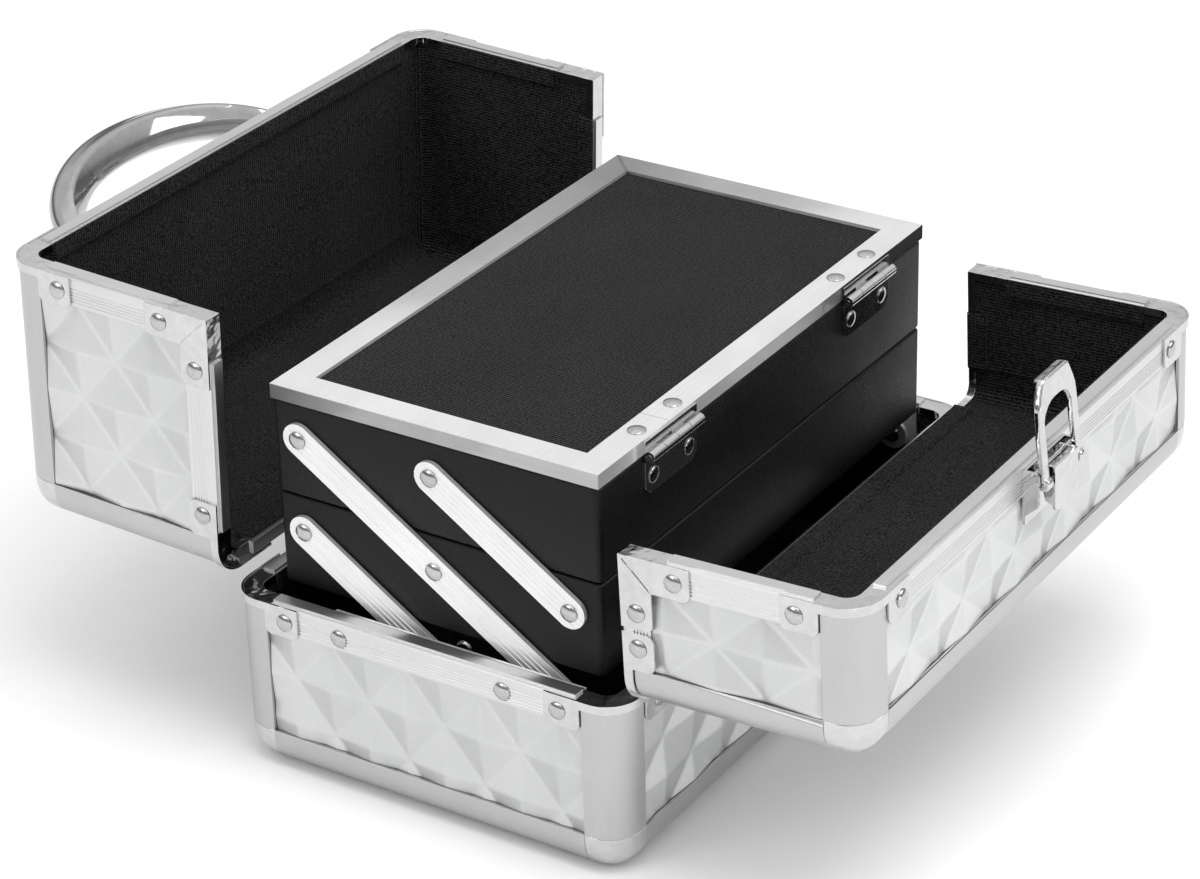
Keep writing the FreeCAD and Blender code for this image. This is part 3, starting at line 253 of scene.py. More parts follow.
def math_node(tree, operation, a, b=0.0):
    made = add(tree, "Math", {"operation": operation})
    for socket, value in zip(made.inputs, (a, b)):
        if isinstance(value, bpy.types.NodeSocket):
            tree.links.new(value, socket)
        else:
            socket.default_value = value
    return made.outputs[0]


def material(name, **shader):
    """A material whose uniform values sit on its shader."""
    made = bpy.data.materials.new(name)
    made.use_nodes = True
    tree = made.node_tree
    bsdf = tree.nodes["Principled BSDF"]
    for key, value in shader.items():
        bsdf.inputs[key.replace("_", " ")].default_value = value
    return made, tree, bsdf


def flat_coordinates(tree, scale):
    """The UV map, which is in metres, stretched by a scale each way."""
    uv = add(tree, "UVMap", {"uv_map": "metres"}).outputs["UV"]
    return add(tree, "Mapping", Vector=uv, Scale=scale).outputs["Vector"]


def solid_coordinates(tree):
    return add(tree, "TexCoord").outputs["Object"]


def noise_texture(tree, place, scale, detail, **more):
    return add(tree, "TexNoise", Vector=place, Scale=scale, Detail=detail,
               **more).outputs["Fac"]


def solid_noise(tree, scale, detail, **more):
    """Noise through the solid, at a scale to the metre."""
    return noise_texture(tree, solid_coordinates(tree), scale, detail, **more)


def shares(tree, first, first_share, second, second_share):
    """Two texture values, each multiplied by its share, added up."""
    return math_node(tree, "ADD", math_node(tree, "MULTIPLY", first, first_share),
                     math_node(tree, "MULTIPLY", second, second_share))


def wire(tree, output, bsdf, socket):
    tree.links.new(output, bsdf.inputs[socket])


def bumped(tree, bsdf, strength, distance, height):
    """Give a shader a bump of a height in metres."""
    bump = add(tree, "Bump", Strength=strength, Distance=distance, Height=height)
    wire(tree, bump.outputs["Normal"], bsdf, "Normal")
    return bump


DENT_SCALE = 150.0         # press marks in plated sheet, to the metre
METAL_CLOUD = 35.0         # soft patches in metal


def metal(name, dark, light, rough, grain, depth, swing=0.06, bare=1.0, dents=0.0):
    """Bare or plated metal. grain is the texture's scale along and across a piece,
    depth is how deep its scratches are and dents how deep its shallow press marks are,
    in metres, and bare is how metallic it looks under its lacquer. Its roughness goes
    from rough - swing to rough + swing."""
    made, tree, bsdf = material(name, Metallic=bare)
    lines = noise_texture(tree, flat_coordinates(tree, (grain[0], grain[1], 1)), 1.0, 3.0,
                          Roughness=0.6)
    cloud = solid_noise(tree, METAL_CLOUD, 3.0, Roughness=0.55)
    both = shares(tree, lines, 0.55, cloud, 0.45)
    wire(tree, ramp(tree, both, (0.35, dark), (0.65, light)), bsdf, "Base Color")
    wire(tree, spread(tree, both, rough - swing, rough + swing), bsdf, "Roughness")
    scratched = bumped(tree, bsdf, 0.6, depth, lines)
    if dents:
        pressed = add(tree, "Bump", Strength=1.0, Distance=dents,
                      Height=solid_noise(tree, DENT_SCALE, 2.0))
        tree.links.new(pressed.outputs["Normal"], scratched.inputs["Normal"])
    return made


PEARL_FLECK = 2600.0       # flecks of the film, to the metre
PEARL_CLOUD = 28.0
PEARL_DARK = (0.56, 0.565, 0.57)
PEARL_LIGHT = (0.65, 0.65, 0.655)


def pearl_skin(name):
    """Satin pearl film over the embossed sheet."""
    made, tree, bsdf = material(name, Metallic=0.45, Coat_Weight=0.2, Coat_Roughness=0.2)
    fleck = solid_noise(tree, PEARL_FLECK, 2.0)
    cloud = solid_noise(tree, PEARL_CLOUD, 3.0)
    both = shares(tree, fleck, 0.4, cloud, 0.6)
    wire(tree, ramp(tree, both, (0.36, PEARL_DARK), (0.64, PEARL_LIGHT)),
         bsdf, "Base Color")
    wire(tree, spread(tree, both, 0.30, 0.42), bsdf, "Roughness")
    bumped(tree, bsdf, 1.0, 0.000012, fleck)
    return made


WOBBLE_SCALE = 90          # how often, to the metre, a rib wanders
WOBBLE = 0.0004            # and how far, in metres
WEFT_TO_RIB = 0.62         # spacing of the crossing thread, to the ribs'
FUZZ_SCALE = 1500.0
CLOTH_CLOUD = 22.0
CLOTH_RELIEF = 0.0003      # metres


def woven(name, rib, dark, light, sheen):
    """Fuzzy ribbed cloth: fine ribs up the wall, crossed by a shallower thread."""
    made, tree, bsdf = material(name, Sheen_Weight=sheen, Sheen_Roughness=0.45,
                                Specular_IOR_Level=0.1)
    place = flat_coordinates(tree, (WOBBLE_SCALE, WOBBLE_SCALE, 1))
    wobble = noise_texture(tree, place, 1.0, 2.0)
    split = add(tree, "SeparateXYZ", Vector=flat_coordinates(tree, (1, 1, 1)))
    along = math_node(tree, "ADD", split.outputs["X"],
                      math_node(tree, "MULTIPLY", wobble, WOBBLE))
    turn = 2 * math.pi
    warp = math_node(tree, "SINE", math_node(tree, "MULTIPLY", along, turn / rib))
    weft = math_node(tree, "SINE", math_node(tree, "MULTIPLY", split.outputs["Y"],
                                             turn / (rib * WEFT_TO_RIB)))
    fuzz = spread(tree, solid_noise(tree, FUZZ_SCALE, 2.0), 0.0, 1.0)
    cloud = solid_noise(tree, CLOTH_CLOUD, 4.0)
    height = math_node(tree, "ADD", shares(tree, warp, 0.30, weft, 0.14), fuzz)
    # The colour follows the weave's height: darker between the ribs as painted shade, plus random tone from the
    # fuzz and the cloud.
    tone_and_painted_shade = math_node(tree, "ADD", height, math_node(tree, "MULTIPLY", cloud, 0.5))
    wire(tree, ramp(tree, tone_and_painted_shade, (0.5, dark), (1.1, light)), bsdf, "Base Color")
    wire(tree, spread(tree, cloud, 0.78, 0.95), bsdf, "Roughness")
    bumped(tree, bsdf, 1.0, CLOTH_RELIEF, height)
    return made


BEND_SCALE = 700.0         # how often, to the metre, the pebbles' edges wander
BEND_REACH = 0.0005        # and how far, in metres
LEATHER_CLOUD = 30.0


def leatherette(name, pebble, dark, light, rough):
    """Pebbled leather cloth. pebble is the size of one pebble in metres."""
    made, tree, bsdf = material(name, Specular_IOR_Level=0.25)
    place = solid_coordinates(tree)
    bend = add(tree, "TexNoise", Vector=place, Scale=BEND_SCALE, Detail=2.0)
    shifted = add(tree, "VectorMath", {"operation": "MULTIPLY_ADD"})
    tree.links.new(bend.outputs["Color"], shifted.inputs[0])
    shifted.inputs[1].default_value = (BEND_REACH,) * 3
    tree.links.new(place, shifted.inputs[2])
    cells = add(tree, "TexVoronoi", {"feature": "DISTANCE_TO_EDGE"},
                Vector=shifted.outputs[0], Scale=1.0 / pebble).outputs["Distance"]
    cloud = noise_texture(tree, place, LEATHER_CLOUD, 4.0)
    # The colour is darker in the creases between pebbles as painted shade, plus random tone from the cloud; the
    # roughness follows the same value.
    tone_and_painted_shade = shares(tree, cells, 0.7, cloud, 0.5)
    wire(tree, ramp(tree, tone_and_painted_shade, (0.15, dark), (0.75, light)), bsdf, "Base Color")
    wire(tree, spread(tree, tone_and_painted_shade, rough - 0.1, rough + 0.1, (0.2, 0.7)), bsdf, "Roughness")
    bumped(tree, bsdf, 0.8, 0.0001, spread(tree, cells, 0.0, 1.0, (0.0, 0.35)))
    return made


def fibreboard(name):
    made, tree, bsdf = material(name)
    chips = solid_noise(tree, 900.0, 4.0)
    wire(tree, ramp(tree, chips, (0.3, (0.10, 0.08, 0.06)), (0.7, (0.22, 0.17, 0.12))),
         bsdf, "Base Color")
    wire(tree, spread(tree, chips, 0.7, 0.9), bsdf, "Roughness")
    bumped(tree, bsdf, 0.5, 0.0001, chips)
    return made


def looking_glass(name):
    made, tree, bsdf = material(name, Metallic=1.0, Coat_Weight=1.0, Coat_Roughness=0.02)
    smear = solid_noise(tree, 18.0, 5.0)
    wire(tree, ramp(tree, smear, (0.3, (0.78, 0.80, 0.80)), (0.7, (0.86, 0.88, 0.88))),
         bsdf, "Base Color")
    wire(tree, spread(tree, smear, 0.02, 0.06), bsdf, "Roughness")
    return made


# Metals: darkest and lightest grey, roughness, grain, scratch depth, and what differs.
METALS = {
    "rim_aluminium": (0.60, 0.66, 0.32, (5, 900), 6e-7, {}),
    "edge_aluminium": (0.47, 0.52, 0.36, (30, 4000), 2e-6, {}),
    "frame_aluminium": (0.58, 0.70, 0.36, (12, 2200), 1e-5, {"bare": 0.5}),
    "arm_steel": (0.72, 0.86, 0.42, (5, 1500), 3e-6, {"bare": 0.8}),
    "bright_steel": (0.52, 0.62, 0.12, (300, 300), 2e-6, {"swing": 0.04, "dents": 6e-4}),
    "rivet_steel": (0.40, 0.54, 0.16, (900, 900), 6e-6, {}),
    "hinge_steel": (0.54, 0.66, 0.14, (300, 300), 2e-6, {"swing": 0.04}),
    "handle_chrome": (0.38, 0.46, 0.06, (200, 200), 1e-6, {"swing": 0.03}),
}


def make_materials():
    """The record's material slots, each with its finish."""
    made = {name: metal(name, *values, **more) for name, (*values, more) in METALS.items()}
    made.update({
        "board": fibreboard("fibreboard"),
        "embossed_skin": pearl_skin("pearl_skin"),
        "underside_sheet": leatherette("underside_grain", 0.0012, 0.02, 0.05, 0.6),
        "lining": woven("black_woven_cloth", 0.0011, 0.0003, 0.030, 0.03),
        "tray_board": leatherette("tray_leatherette", 0.0009, 0.0012, 0.005, 0.5),
        "mirror_glass": looking_glass("mirror_glass"),
    })
    return made


# ---------------------------------------------------------------- bodies and slots
RECORD = frame["record"]
BODY_OF = {n: body for body, nodes in RECORD["behaviour"]["bodies"].items() for n in nodes}
SLOT_OF = {s["node"]: s["material_slot"] for s in RECORD["subparts"]}
CARRIED_BY = {"handle": "rear_lid", "latch_lever": "front_lid", "latch_loop": "front_lid"}


def opened(body):
    """The turn that takes a lid shell, drawn closed, to where it stands at rest."""
    for joint in frame["joints"]:
        if joint["child"] == body and body in ("rear_lid", "front_lid"):
            shut = math.radians(joint["range_deg"][0])
            pin = Matrix.Translation(Vector(joint["pos_m"]))
            return pin @ Matrix.Rotation(-shut, 4, Vector(joint["axis"])) @ pin.inverted()
    return UNTURNED


def opened_node(node):
    """The same turn, for any node that a shell carries."""
    body = BODY_OF[node]
    return opened(CARRIED_BY.get(body, body))


def islands(node):
    """The node's separate solids, each as points where the shell is closed."""
    back = opened_node(node).inverted()
    bm = bmesh.new()
    bm.from_mesh(frame["nodes"][node].data)
    bmesh.ops.remove_doubles(bm, verts=bm.verts, dist=WELD)
    left = set(bm.verts)
    found = []
    while left:
        seed = left.pop()
        group, edge = [seed], [seed]
        while edge:
            vert = edge.pop()
            for link in vert.link_edges:
                other = link.other_vert(vert)
                if other in left:
                    left.discard(other)
                    group.append(other)
                    edge.append(other)
        found.append(np.array([tuple(back @ v.co) for v in group]))
    bm.free()
    return sorted(found, key=lambda p: tuple(np.round(p.mean(0), 5)))


def closed_box(node):
    """The node's lowest and highest corners where the shell is closed."""
    points = np.concatenate(islands(node))
    return points.min(0), points.max(0)


def finished(name, node, mesh, slot=None):
    """Put a mesh in the scene as a piece that stands for a CAD node."""
    piece = in_scene(bpy.data.objects.new(name, mesh))
    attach(piece, BODY_OF[node])
    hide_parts(node)
    slot = slot or SLOT_OF[node]
    mesh.materials.clear()
    mesh.materials.append(MATERIALS[slot])
    return piece


# ---------------------------------------------------------------- mesh helpers
def smooth(mesh, angle):
    """Shade a mesh smoothly, except at edges that turn by more than an angle in degrees."""
    mesh.polygons.foreach_set("use_smooth", [True] * len(mesh.polygons))
    mesh.set_sharp_from_angle(angle=math.radians(angle))


def box_uv(mesh, turn, lengthways=False):
    """UVs in metres, square to the closed shell's walls. Lengthways puts U along each
    separate piece's longest side."""
    back = np.array(turn.inverted())
    points = np.empty(len(mesh.vertices) * 3)
    mesh.vertices.foreach_get("co", points)
    points = points.reshape(-1, 3) @ back[:3, :3].T + back[:3, 3]
    normals = np.empty(len(mesh.polygons) * 3)
    mesh.polygons.foreach_get("normal", normals)
    facing = np.abs(normals.reshape(-1, 3) @ back[:3, :3].T).argmax(1)
    along = longest_sides(mesh, points) if lengthways else np.full(len(points), -1)
    layer = mesh.uv_layers.new(name="metres")
    uvs = np.empty((len(mesh.loops), 2))
    for face, side in zip(mesh.polygons, facing):
        first, second = [i for i in range(3) if i != side]
        if along[face.vertices[0]] == second:
            first, second = second, first
        loops = list(face.loop_indices)
        uvs[loops] = points[list(face.vertices)][:, (first, second)]
    layer.data.foreach_set("uv", uvs.ravel())


def longest_sides(mesh, points):
    """The axis each vertex's separate piece is longest along."""
    label = np.arange(len(points))
    ends = np.empty(len(mesh.edges) * 2, int)
    mesh.edges.foreach_get("vertices", ends)
    a, b = ends.reshape(-1, 2).T
    while True:
        low = np.minimum(label[a], label[b])
        before = label.copy()
        np.minimum.at(label, a, low)
        np.minimum.at(label, b, low)
        label = label[label]
        if (label == before).all():
            break
    along = np.empty(len(points), int)
    for piece in np.unique(label):
        inside = label == piece
        along[inside] = np.ptp(points[inside], axis=0).argmax()
    return along


def refined(node, width, turn=None):
    """A CAD node with its sharp edges broken, as they are on pressed, drawn and sawn
    metal. turn is how its grain is turned, if not as its shell is."""
    bm = bmesh.new()
    bm.from_mesh(frame["nodes"][node].data)
    bmesh.ops.remove_doubles(bm, verts=bm.verts, dist=WELD)
    bmesh.ops.dissolve_limit(bm, angle_limit=math.radians(FLAT_ENOUGH), verts=bm.verts,
                             edges=bm.edges)
    mesh = bpy.data.meshes.new(node + "_raw")
    bm.to_mesh(mesh)
    bm.free()
    raw = in_scene(bpy.data.objects.new(node + "_raw", mesh))
    bevel = raw.modifiers.new("edges", "BEVEL")
    bevel.width = width
    bevel.segments = EDGE_SEGMENTS
    bevel.limit_method = "ANGLE"
    bevel.angle_limit = math.radians(EDGE_ANGLE)
    bevel.use_clamp_overlap = True
    bevel.miter_outer = "MITER_ARC"
    smooth(mesh, 180)
    weight = raw.modifiers.new("shading", "WEIGHTED_NORMAL")
    weight.weight = 100
    weight.keep_sharp = True
    shaped = applied(raw)
    shaped.name = node + "_finished"
    box_uv(shaped, turn or opened_node(node), lengthways=True)
    finished(shaped.name, node, shaped)


def applied(raw):
    """The mesh an object has after its modifiers. The object itself goes."""
    bpy.context.view_layer.update()
    view = bpy.context.evaluated_depsgraph_get()
    mesh = bpy.data.meshes.new_from_object(raw.evaluated_get(view))
    bpy.data.objects.remove(raw)
    return mesh


def ticks(low, high, step):
    """Even steps from low to high, of about the length asked for."""
    count = max(1, int(round((high - low) / step)))
    return np.linspace(low, high, count + 1)


def grid_faces(index):
    """The four-sided faces between a grid of numbered points."""
    return np.stack([index[:-1, :-1], index[1:, :-1], index[1:, 1:], index[:-1, 1:]],
                    -1).reshape(-1, 4).tolist()


def backed(front, axis, level):
    """Points and faces of a grid of points closed with a flat back at a level."""
    index = np.arange(front.shape[0] * front.shape[1]).reshape(front.shape[:2])
    faces = grid_faces(index)
    edge = np.concatenate([index[:-1, 0], index[-1, :-1], index[:0:-1, -1],
                           index[0, :0:-1]])
    front = front.reshape(-1, 3)
    back = front[edge].copy()
    back[:, axis] = level
    base, count = len(front), len(edge)
    for i in range(count):
        j = (i + 1) % count
        faces.append([int(edge[i]), base + i, base + j, int(edge[j])])
    faces.append([base + i for i in range(count)])
    return np.concatenate([front, back]), faces


def ring_faces(pairs, count):
    """The faces between pairs of numbered rings of so many points each."""
    return [[a * count + i, a * count + (i + 1) % count,
             b * count + (i + 1) % count, b * count + i]
            for a, b in pairs for i in range(count)]


def lofted(rings):
    """Points and faces of a tube through rings of equal length, with capped ends."""
    count, last = len(rings[0]), len(rings) - 1
    faces = ring_faces([(row, row + 1) for row in range(last)], count)
    faces.append(list(range(count)))
    faces.append([last * count + i for i in range(count)])
    return np.concatenate([np.array(r) for r in rings]), faces


def joined_mesh(name, parts, turn):
    """One mesh from several lists of points and faces, turned into place."""
    verts, faces, start = [], [], 0
    for points, polygons in parts:
        verts += [tuple(turn @ Vector(p)) for p in points]
        faces += [[i + start for i in f] for f in polygons]
        start += len(points)
    mesh = bpy.data.meshes.new(name)
    mesh.from_pydata(verts, [], faces)
    bm = bmesh.new()
    bm.from_mesh(mesh)
    bmesh.ops.recalc_face_normals(bm, faces=bm.faces)
    bm.to_mesh(mesh)
    bm.free()
    return mesh


# ---------------------------------------------------------------- embossed skins
def triangle(value):
    """0 at even whole numbers and 1 at odd ones, straight between, softly turned."""
    return np.arccos((1 - PYRAMID_TURN) * np.cos(math.pi * value)) / math.pi


def embossed(u, v):
    """How far below its tip the pyramid sheet is, from 0 at a tip to 1 in a valley.
    u and v are from a tip, in half diagonals."""
    a = triangle(u + v)
    b = triangle(u - v)
    return 0.5 * (a + b + np.sqrt((a - b) ** 2 + VALLEY_TURN ** 2))


# Where one pyramid's tip is on each wall of each shell, by the axis that the wall faces
# along: the tip along the wall's two axes in mm, and whether the long diagonal is the
# second.
TIPS = {
    "base_skins": {0: (-7.5, 19.0, True), 1: (-70.5, 39.4, False)},
    "rear_lid_skins": {0: (24.4, 103.9, False), 1: (-70.5, 104.0, False),
                       2: (-70.5, 24.4, False)},
    "front_lid_skins": {0: (-44.9, 112.3, True), 1: (-67.4, 104.0, False),
                        2: (-67.4, -48.3, False)},
}


def skin_panel(points, centre, tips):
    """One embossed wall: a pyramid face and a flat back, closed round its edge."""
    low, high = points.min(0), points.max(0)
    thin = int(np.argmin(high - low))
    out = 1 if (low + high)[thin] / 2 > centre[thin] else -1
    face = high[thin] if out > 0 else low[thin]
    near = points[np.abs(points[:, thin] - face) < FACE_REACH]
    axes = [i for i in range(3) if i != thin]
    (u0, v0), (u1, v1) = near.min(0)[axes] + SKIN_GAP, near.max(0)[axes] - SKIN_GAP
    tip_u, tip_v, turned = tips[thin]
    half_u, half_v = reversed(PYRAMID) if turned else PYRAMID
    grid_u, grid_v = np.meshgrid(ticks(u0, u1, SKIN_CELL), ticks(v0, v1, SKIN_CELL),
                                 indexing="ij")
    depth = (SKIN_VALLEY - SKIN_PEAK) * embossed(
        (grid_u / MM - tip_u) / half_u, (grid_v / MM - tip_v) / half_v)
    front = np.zeros(grid_u.shape + (3,))
    front[..., axes[0]] = grid_u
    front[..., axes[1]] = grid_v
    front[..., thin] = face - out * depth
    return backed(front, thin, face - out * (SKIN_BACK - SKIN_PEAK))


def sharpen_facets(mesh, turn):
    """Shade the facets as if they leaned further, as a pearl film shows them."""
    square = turn.to_3x3()
    back = square.transposed()
    normals = np.zeros(len(mesh.loops) * 3)
    mesh.corner_normals.foreach_get("vector", normals)
    normals = normals.reshape(-1, 3) @ np.array(back).T
    facing = np.abs(normals).max(1, keepdims=True)
    main = np.abs(normals) == facing
    lean = np.where(facing > FACET_UPRIGHT, FACET_LEAN, 1.0)
    normals = np.where(main, normals, normals * lean)
    normals = normals / np.linalg.norm(normals, axis=1, keepdims=True)
    normals = normals @ np.array(square).T
    mesh.normals_split_custom_set([tuple(n) for n in normals])


def make_skins():
    """The embossed walls of the three shells."""
    for node, tips in TIPS.items():
        groups = islands(node)
        every = np.concatenate(groups)
        centre = (every.min(0) + every.max(0)) / 2
        turn = opened_node(node)
        mesh = joined_mesh(node + "_embossed",
                           [skin_panel(g, centre, tips) for g in groups], turn)
        smooth(mesh, 50)
        box_uv(mesh, turn)
        sharpen_facets(mesh, turn)
        finished(node + "_embossed", node, mesh)


# ---------------------------------------------------------------- cloth
def sides_of(low, high, open_sides, axis):
    """A lining's two sides along an axis: where, which way is inward, whether open."""
    return ((low[axis], 1, open_sides[axis][0]), (high[axis], -1, open_sides[axis][1]))


def cloth_ticks(low, high, open_sides, axis, bend):
    """Grid lines across a lining: close together round a bend, over a crease and where
    the cloth is turned over a rim's inner leg."""
    marks = set(np.round(ticks(low[axis], high[axis], CLOTH_STEP), 6))
    for edge, inward, is_open in sides_of(low, high, open_sides, axis):
        for step in LEG_LINES if is_open else RIM_LINES:
            marks.add(round(edge + inward * step * MM, 6))
        if is_open:
            continue
        for part in np.linspace(0, 1, BEND_LINES):
            marks.add(round(edge + inward * bend * (1 - math.cos(part * math.pi / 2)), 6))
        for step in SEAM_LINES:
            marks.add(round(edge + inward * (SEAM_AT + step * MM), 6))
    kept = []
    for mark in sorted(marks):
        if not kept or mark - kept[-1] > LEAST_LINE_GAP:
            kept.append(mark)
    kept[-1] = high[axis]
    return np.array(kept)


def over_leg(points, low, high, open_sides, axis, inward):
    """Step a wall's cloth in over the inner legs of the rims beside it, and run it up
    to their shoulders. The corners, where the brackets are, stay as they were."""
    walls = [i for i in range(3) if i != axis]
    base = points.copy()
    for i, other in (walls, walls[::-1]):
        for side, sign, is_open in sides_of(low, high, open_sides, i):
            if not is_open:
                continue
            down = (base[..., i] - side) * sign / MM
            reach = np.minimum(*[
                (base[..., other] - end) * into / MM
                - (RIM_REACH + (RIM_SETBACK if end_open else 0))
                for end, into, end_open in sides_of(low, high, open_sides, other)])
            along = np.clip(reach + RIM_EASE, 0, 1)
            near = np.clip((LEG_REACH + LEG_FOOT - down) / LEG_SLOPE, 0, 1)
            points[..., axis] += inward * LEG_WRAP * near * along
            points[..., i] -= sign * LEG_RISE * np.clip(LEG_RISE_FADE - down, 0, 1) * along


def bent(points, low, high, open_sides, bend):
    """Flat walls drawn in round their inner corners."""
    core = points.copy()
    for i in range(3):
        floor = -FAR if open_sides[i][0] else low[i] + bend
        roof = FAR if open_sides[i][1] else high[i] - bend
        core[..., i] = np.clip(core[..., i], floor, roof)
    away = points - core
    size = np.linalg.norm(away, axis=-1, keepdims=True)
    return core + away / np.maximum(size, 1e-9) * bend


def seam_ridge(grids, low, high, open_sides):
    """The height of the crease that runs round a wall, inside its closed sides."""
    gaps = [(grid - side) * sign - SEAM_AT for i, grid in grids
            for side, sign, is_open in sides_of(low, high, open_sides, i) if not is_open]
    inset = np.minimum.reduce(gaps)
    return SEAM_HIGH * np.exp(-(inset / SEAM_WIDE) ** 2)


def rounded_lining(low, high, open_sides, bend, seams=True, wrap=False):
    """The inside of a box in cloth: flat walls with rounded inner corners."""
    lines = [cloth_ticks(low, high, open_sides, i, bend) for i in range(3)]
    verts, faces, start = [], [], 0
    for axis in range(3):
        a, b = [i for i in range(3) if i != axis]
        for edge, inward, is_open in sides_of(low, high, open_sides, axis):
            if is_open:
                continue
            grid_a, grid_b = np.meshgrid(lines[a], lines[b], indexing="ij")
            points = np.zeros(grid_a.shape + (3,))
            points[..., a], points[..., b], points[..., axis] = grid_a, grid_b, edge
            points = bent(points, low, high, open_sides, bend)
            if seams:
                ridge = seam_ridge(((a, grid_a), (b, grid_b)), low, high, open_sides)
                points[..., axis] += inward * ridge
            if wrap:
                over_leg(points, low, high, open_sides, axis, inward)
            flat = points.reshape(-1, 3)
            for p in flat:
                wide, fine = [noise.noise(Vector(p) * scale) for scale in CLOTH_WAVES]
                p[axis] += inward * CLOTH_WAVE * (1 + (wide + 0.5 * fine))
            faces += grid_faces(np.arange(len(flat)).reshape(grid_a.shape) + start)
            verts.append(flat)
            start += len(flat)
    return np.concatenate(verts), faces


def cloth_piece(name, node, points, faces, thickness):
    """A thin closed cloth from a surface, thickened towards the inside of the shell."""
    turn = opened_node(node)
    mesh = bpy.data.meshes.new(name)
    mesh.from_pydata([tuple(turn @ Vector(p)) for p in points], [], faces)
    bm = bmesh.new()
    bm.from_mesh(mesh)
    bmesh.ops.remove_doubles(bm, verts=bm.verts, dist=CLOTH_WELD)
    bmesh.ops.recalc_face_normals(bm, faces=bm.faces)
    middle = turn @ Vector((points.min(0) + points.max(0)) / 2)
    first = bm.faces[:][0]
    if first.normal.dot(middle - first.calc_center_median()) < 0:
        bmesh.ops.reverse_faces(bm, faces=bm.faces)
    bm.to_mesh(mesh)
    bm.free()
    raw = in_scene(bpy.data.objects.new(name + "_raw", mesh))
    thick = raw.modifiers.new("thickness", "SOLIDIFY")
    thick.thickness = thickness
    thick.offset = 1.0
    shaped = applied(raw)
    shaped.name = name
    smooth(shaped, 60)
    box_uv(shaped, turn)
    return finished(name, node, shaped, "lining")


def make_lining(shell, open_sides, bend, thickness, **kinds):
    """A shell's or tray's lining, cut as one cross and held against its boards."""
    node = shell + "_lining"
    low, high = closed_box(node)
    points, faces = rounded_lining(low, high, open_sides, bend, **kinds)
    piece = cloth_piece(node + "_cloth", node, points, faces, thickness)


# Which sides of each shell are open, along X, Y and Z of the closed case.
SHUT, LOW_OPEN, HIGH_OPEN = (False, False), (True, False), (False, True)
LINED = {"base": (SHUT, SHUT, HIGH_OPEN), "rear_lid": (SHUT, LOW_OPEN, LOW_OPEN),
         "front_lid": (SHUT, HIGH_OPEN, LOW_OPEN)}


# ---------------------------------------------------------------- trays
def rounded_loop(half_x, half_y, radius, z, per_corner=6):
    """A level rectangle of points with rounded corners, about the origin."""
    loop = []
    for corner, (sx, sy) in enumerate(((1, 1), (-1, 1), (-1, -1), (1, -1))):
        for step in range(per_corner + 1):
            turn = (corner + step / per_corner) * math.pi / 2
            loop.append((sx * (half_x - radius) + radius * math.cos(turn),
                         sy * (half_y - radius) + radius * math.sin(turn), z))
    return loop


def tray_profile(bottom, top, foot_steps=4, brim_steps=6):
    """A tray's outline up its outside, over its brim and down to its floor, as how far
    in and how high each point is."""
    profile = []
    for part in range(foot_steps + 1):
        turn = part / foot_steps * math.pi / 2
        profile.append((TRAY_FOOT * (1 - math.sin(turn)),
                        bottom + TRAY_FOOT * (1 - math.cos(turn))))
    half = TRAY_WALL / 2
    for part in range(brim_steps + 1):
        turn = part / brim_steps * math.pi
        profile.append((half - half * math.cos(turn),
                        top - TRAY_BRIM + TRAY_BRIM * math.sin(turn)))
    return profile + [(TRAY_WALL, bottom + TRAY_FLOOR)]


def make_tray(name):
    """A tray in black leatherette: rounded where the wrap turns over its boards."""
    low, high = closed_box(name + "_boards")
    half_x, half_y = (high - low)[:2] / 2
    loops = [rounded_loop(half_x - d, half_y - d,
                          max(TRAY_CORNER - d, TRAY_CORNER_LEAST), z)
             for d, z in tray_profile(low[2], high[2])]
    mesh = joined_mesh(name + "_shell", [lofted(loops)], UNTURNED)
    smooth(mesh, 50)
    box_uv(mesh, UNTURNED)
    finished(name + "_shell", name + "_boards", mesh)
    make_lining(name, (SHUT, SHUT, HIGH_OPEN), TRAY_CLOTH_BEND, TRAY_CLOTH, seams=False)


def make_lid_cloth():
    """The woven cover of the tray lid's panel, drawn tight over its board."""
    low, high = closed_box("tray_lid_panel")
    grid_u, grid_v = np.meshgrid(ticks(low[0], high[0], LID_CLOTH_STEP),
                                 ticks(low[1], high[1], LID_CLOTH_STEP), indexing="ij")
    edge = np.minimum.reduce([grid_u - low[0], high[0] - grid_u, grid_v - low[1],
                              high[1] - grid_v])
    level = high[2] - LID_CLOTH_DROP * np.exp(-(edge / LID_CLOTH_ROLL) ** 2)
    top = np.stack([grid_u, grid_v, level], -1)
    for p in top.reshape(-1, 3):
        p[2] += LID_CLOTH_WAVE * noise.noise(Vector(p) * LID_CLOTH_WAVES)
    mesh = joined_mesh("tray_lid_panel_cloth", [backed(top, 2, low[2])], UNTURNED)
    smooth(mesh, 50)
    box_uv(mesh, UNTURNED)
    piece = finished("tray_lid_panel_cloth", "tray_lid_panel", mesh, "lining")


# ---------------------------------------------------------------- handle and latch loop
def ring_of(radius, half_wide, bore, round_off, steps=40, round_steps=4):
    """A short barrel along X with rounded edges and a bore, about the origin."""
    profile = [(-half_wide, bore), (-half_wide, radius - round_off)]
    for part in range(round_steps + 1):
        turn = part / round_steps * math.pi / 2
        profile.append((-half_wide + round_off * (1 - math.cos(turn)),
                        radius - round_off + round_off * math.sin(turn)))
    profile += [(-x, r) for x, r in reversed(profile)]
    points = []
    for i in range(steps):
        turn = 2 * math.pi * i / steps
        points += [(x, r * math.cos(turn), r * math.sin(turn)) for x, r in profile]
    faces = ring_faces([(i, (i + 1) % steps) for i in range(steps)], len(profile))
    return np.array(points), faces


def eyes(sizes, at):
    """Two barrels along X, one each side of the middle."""
    made = []
    for side in (-1, 1):
        points, faces = ring_of(*sizes)
        made.append((points + np.array((side * at, 0, 0)), faces))
    return made


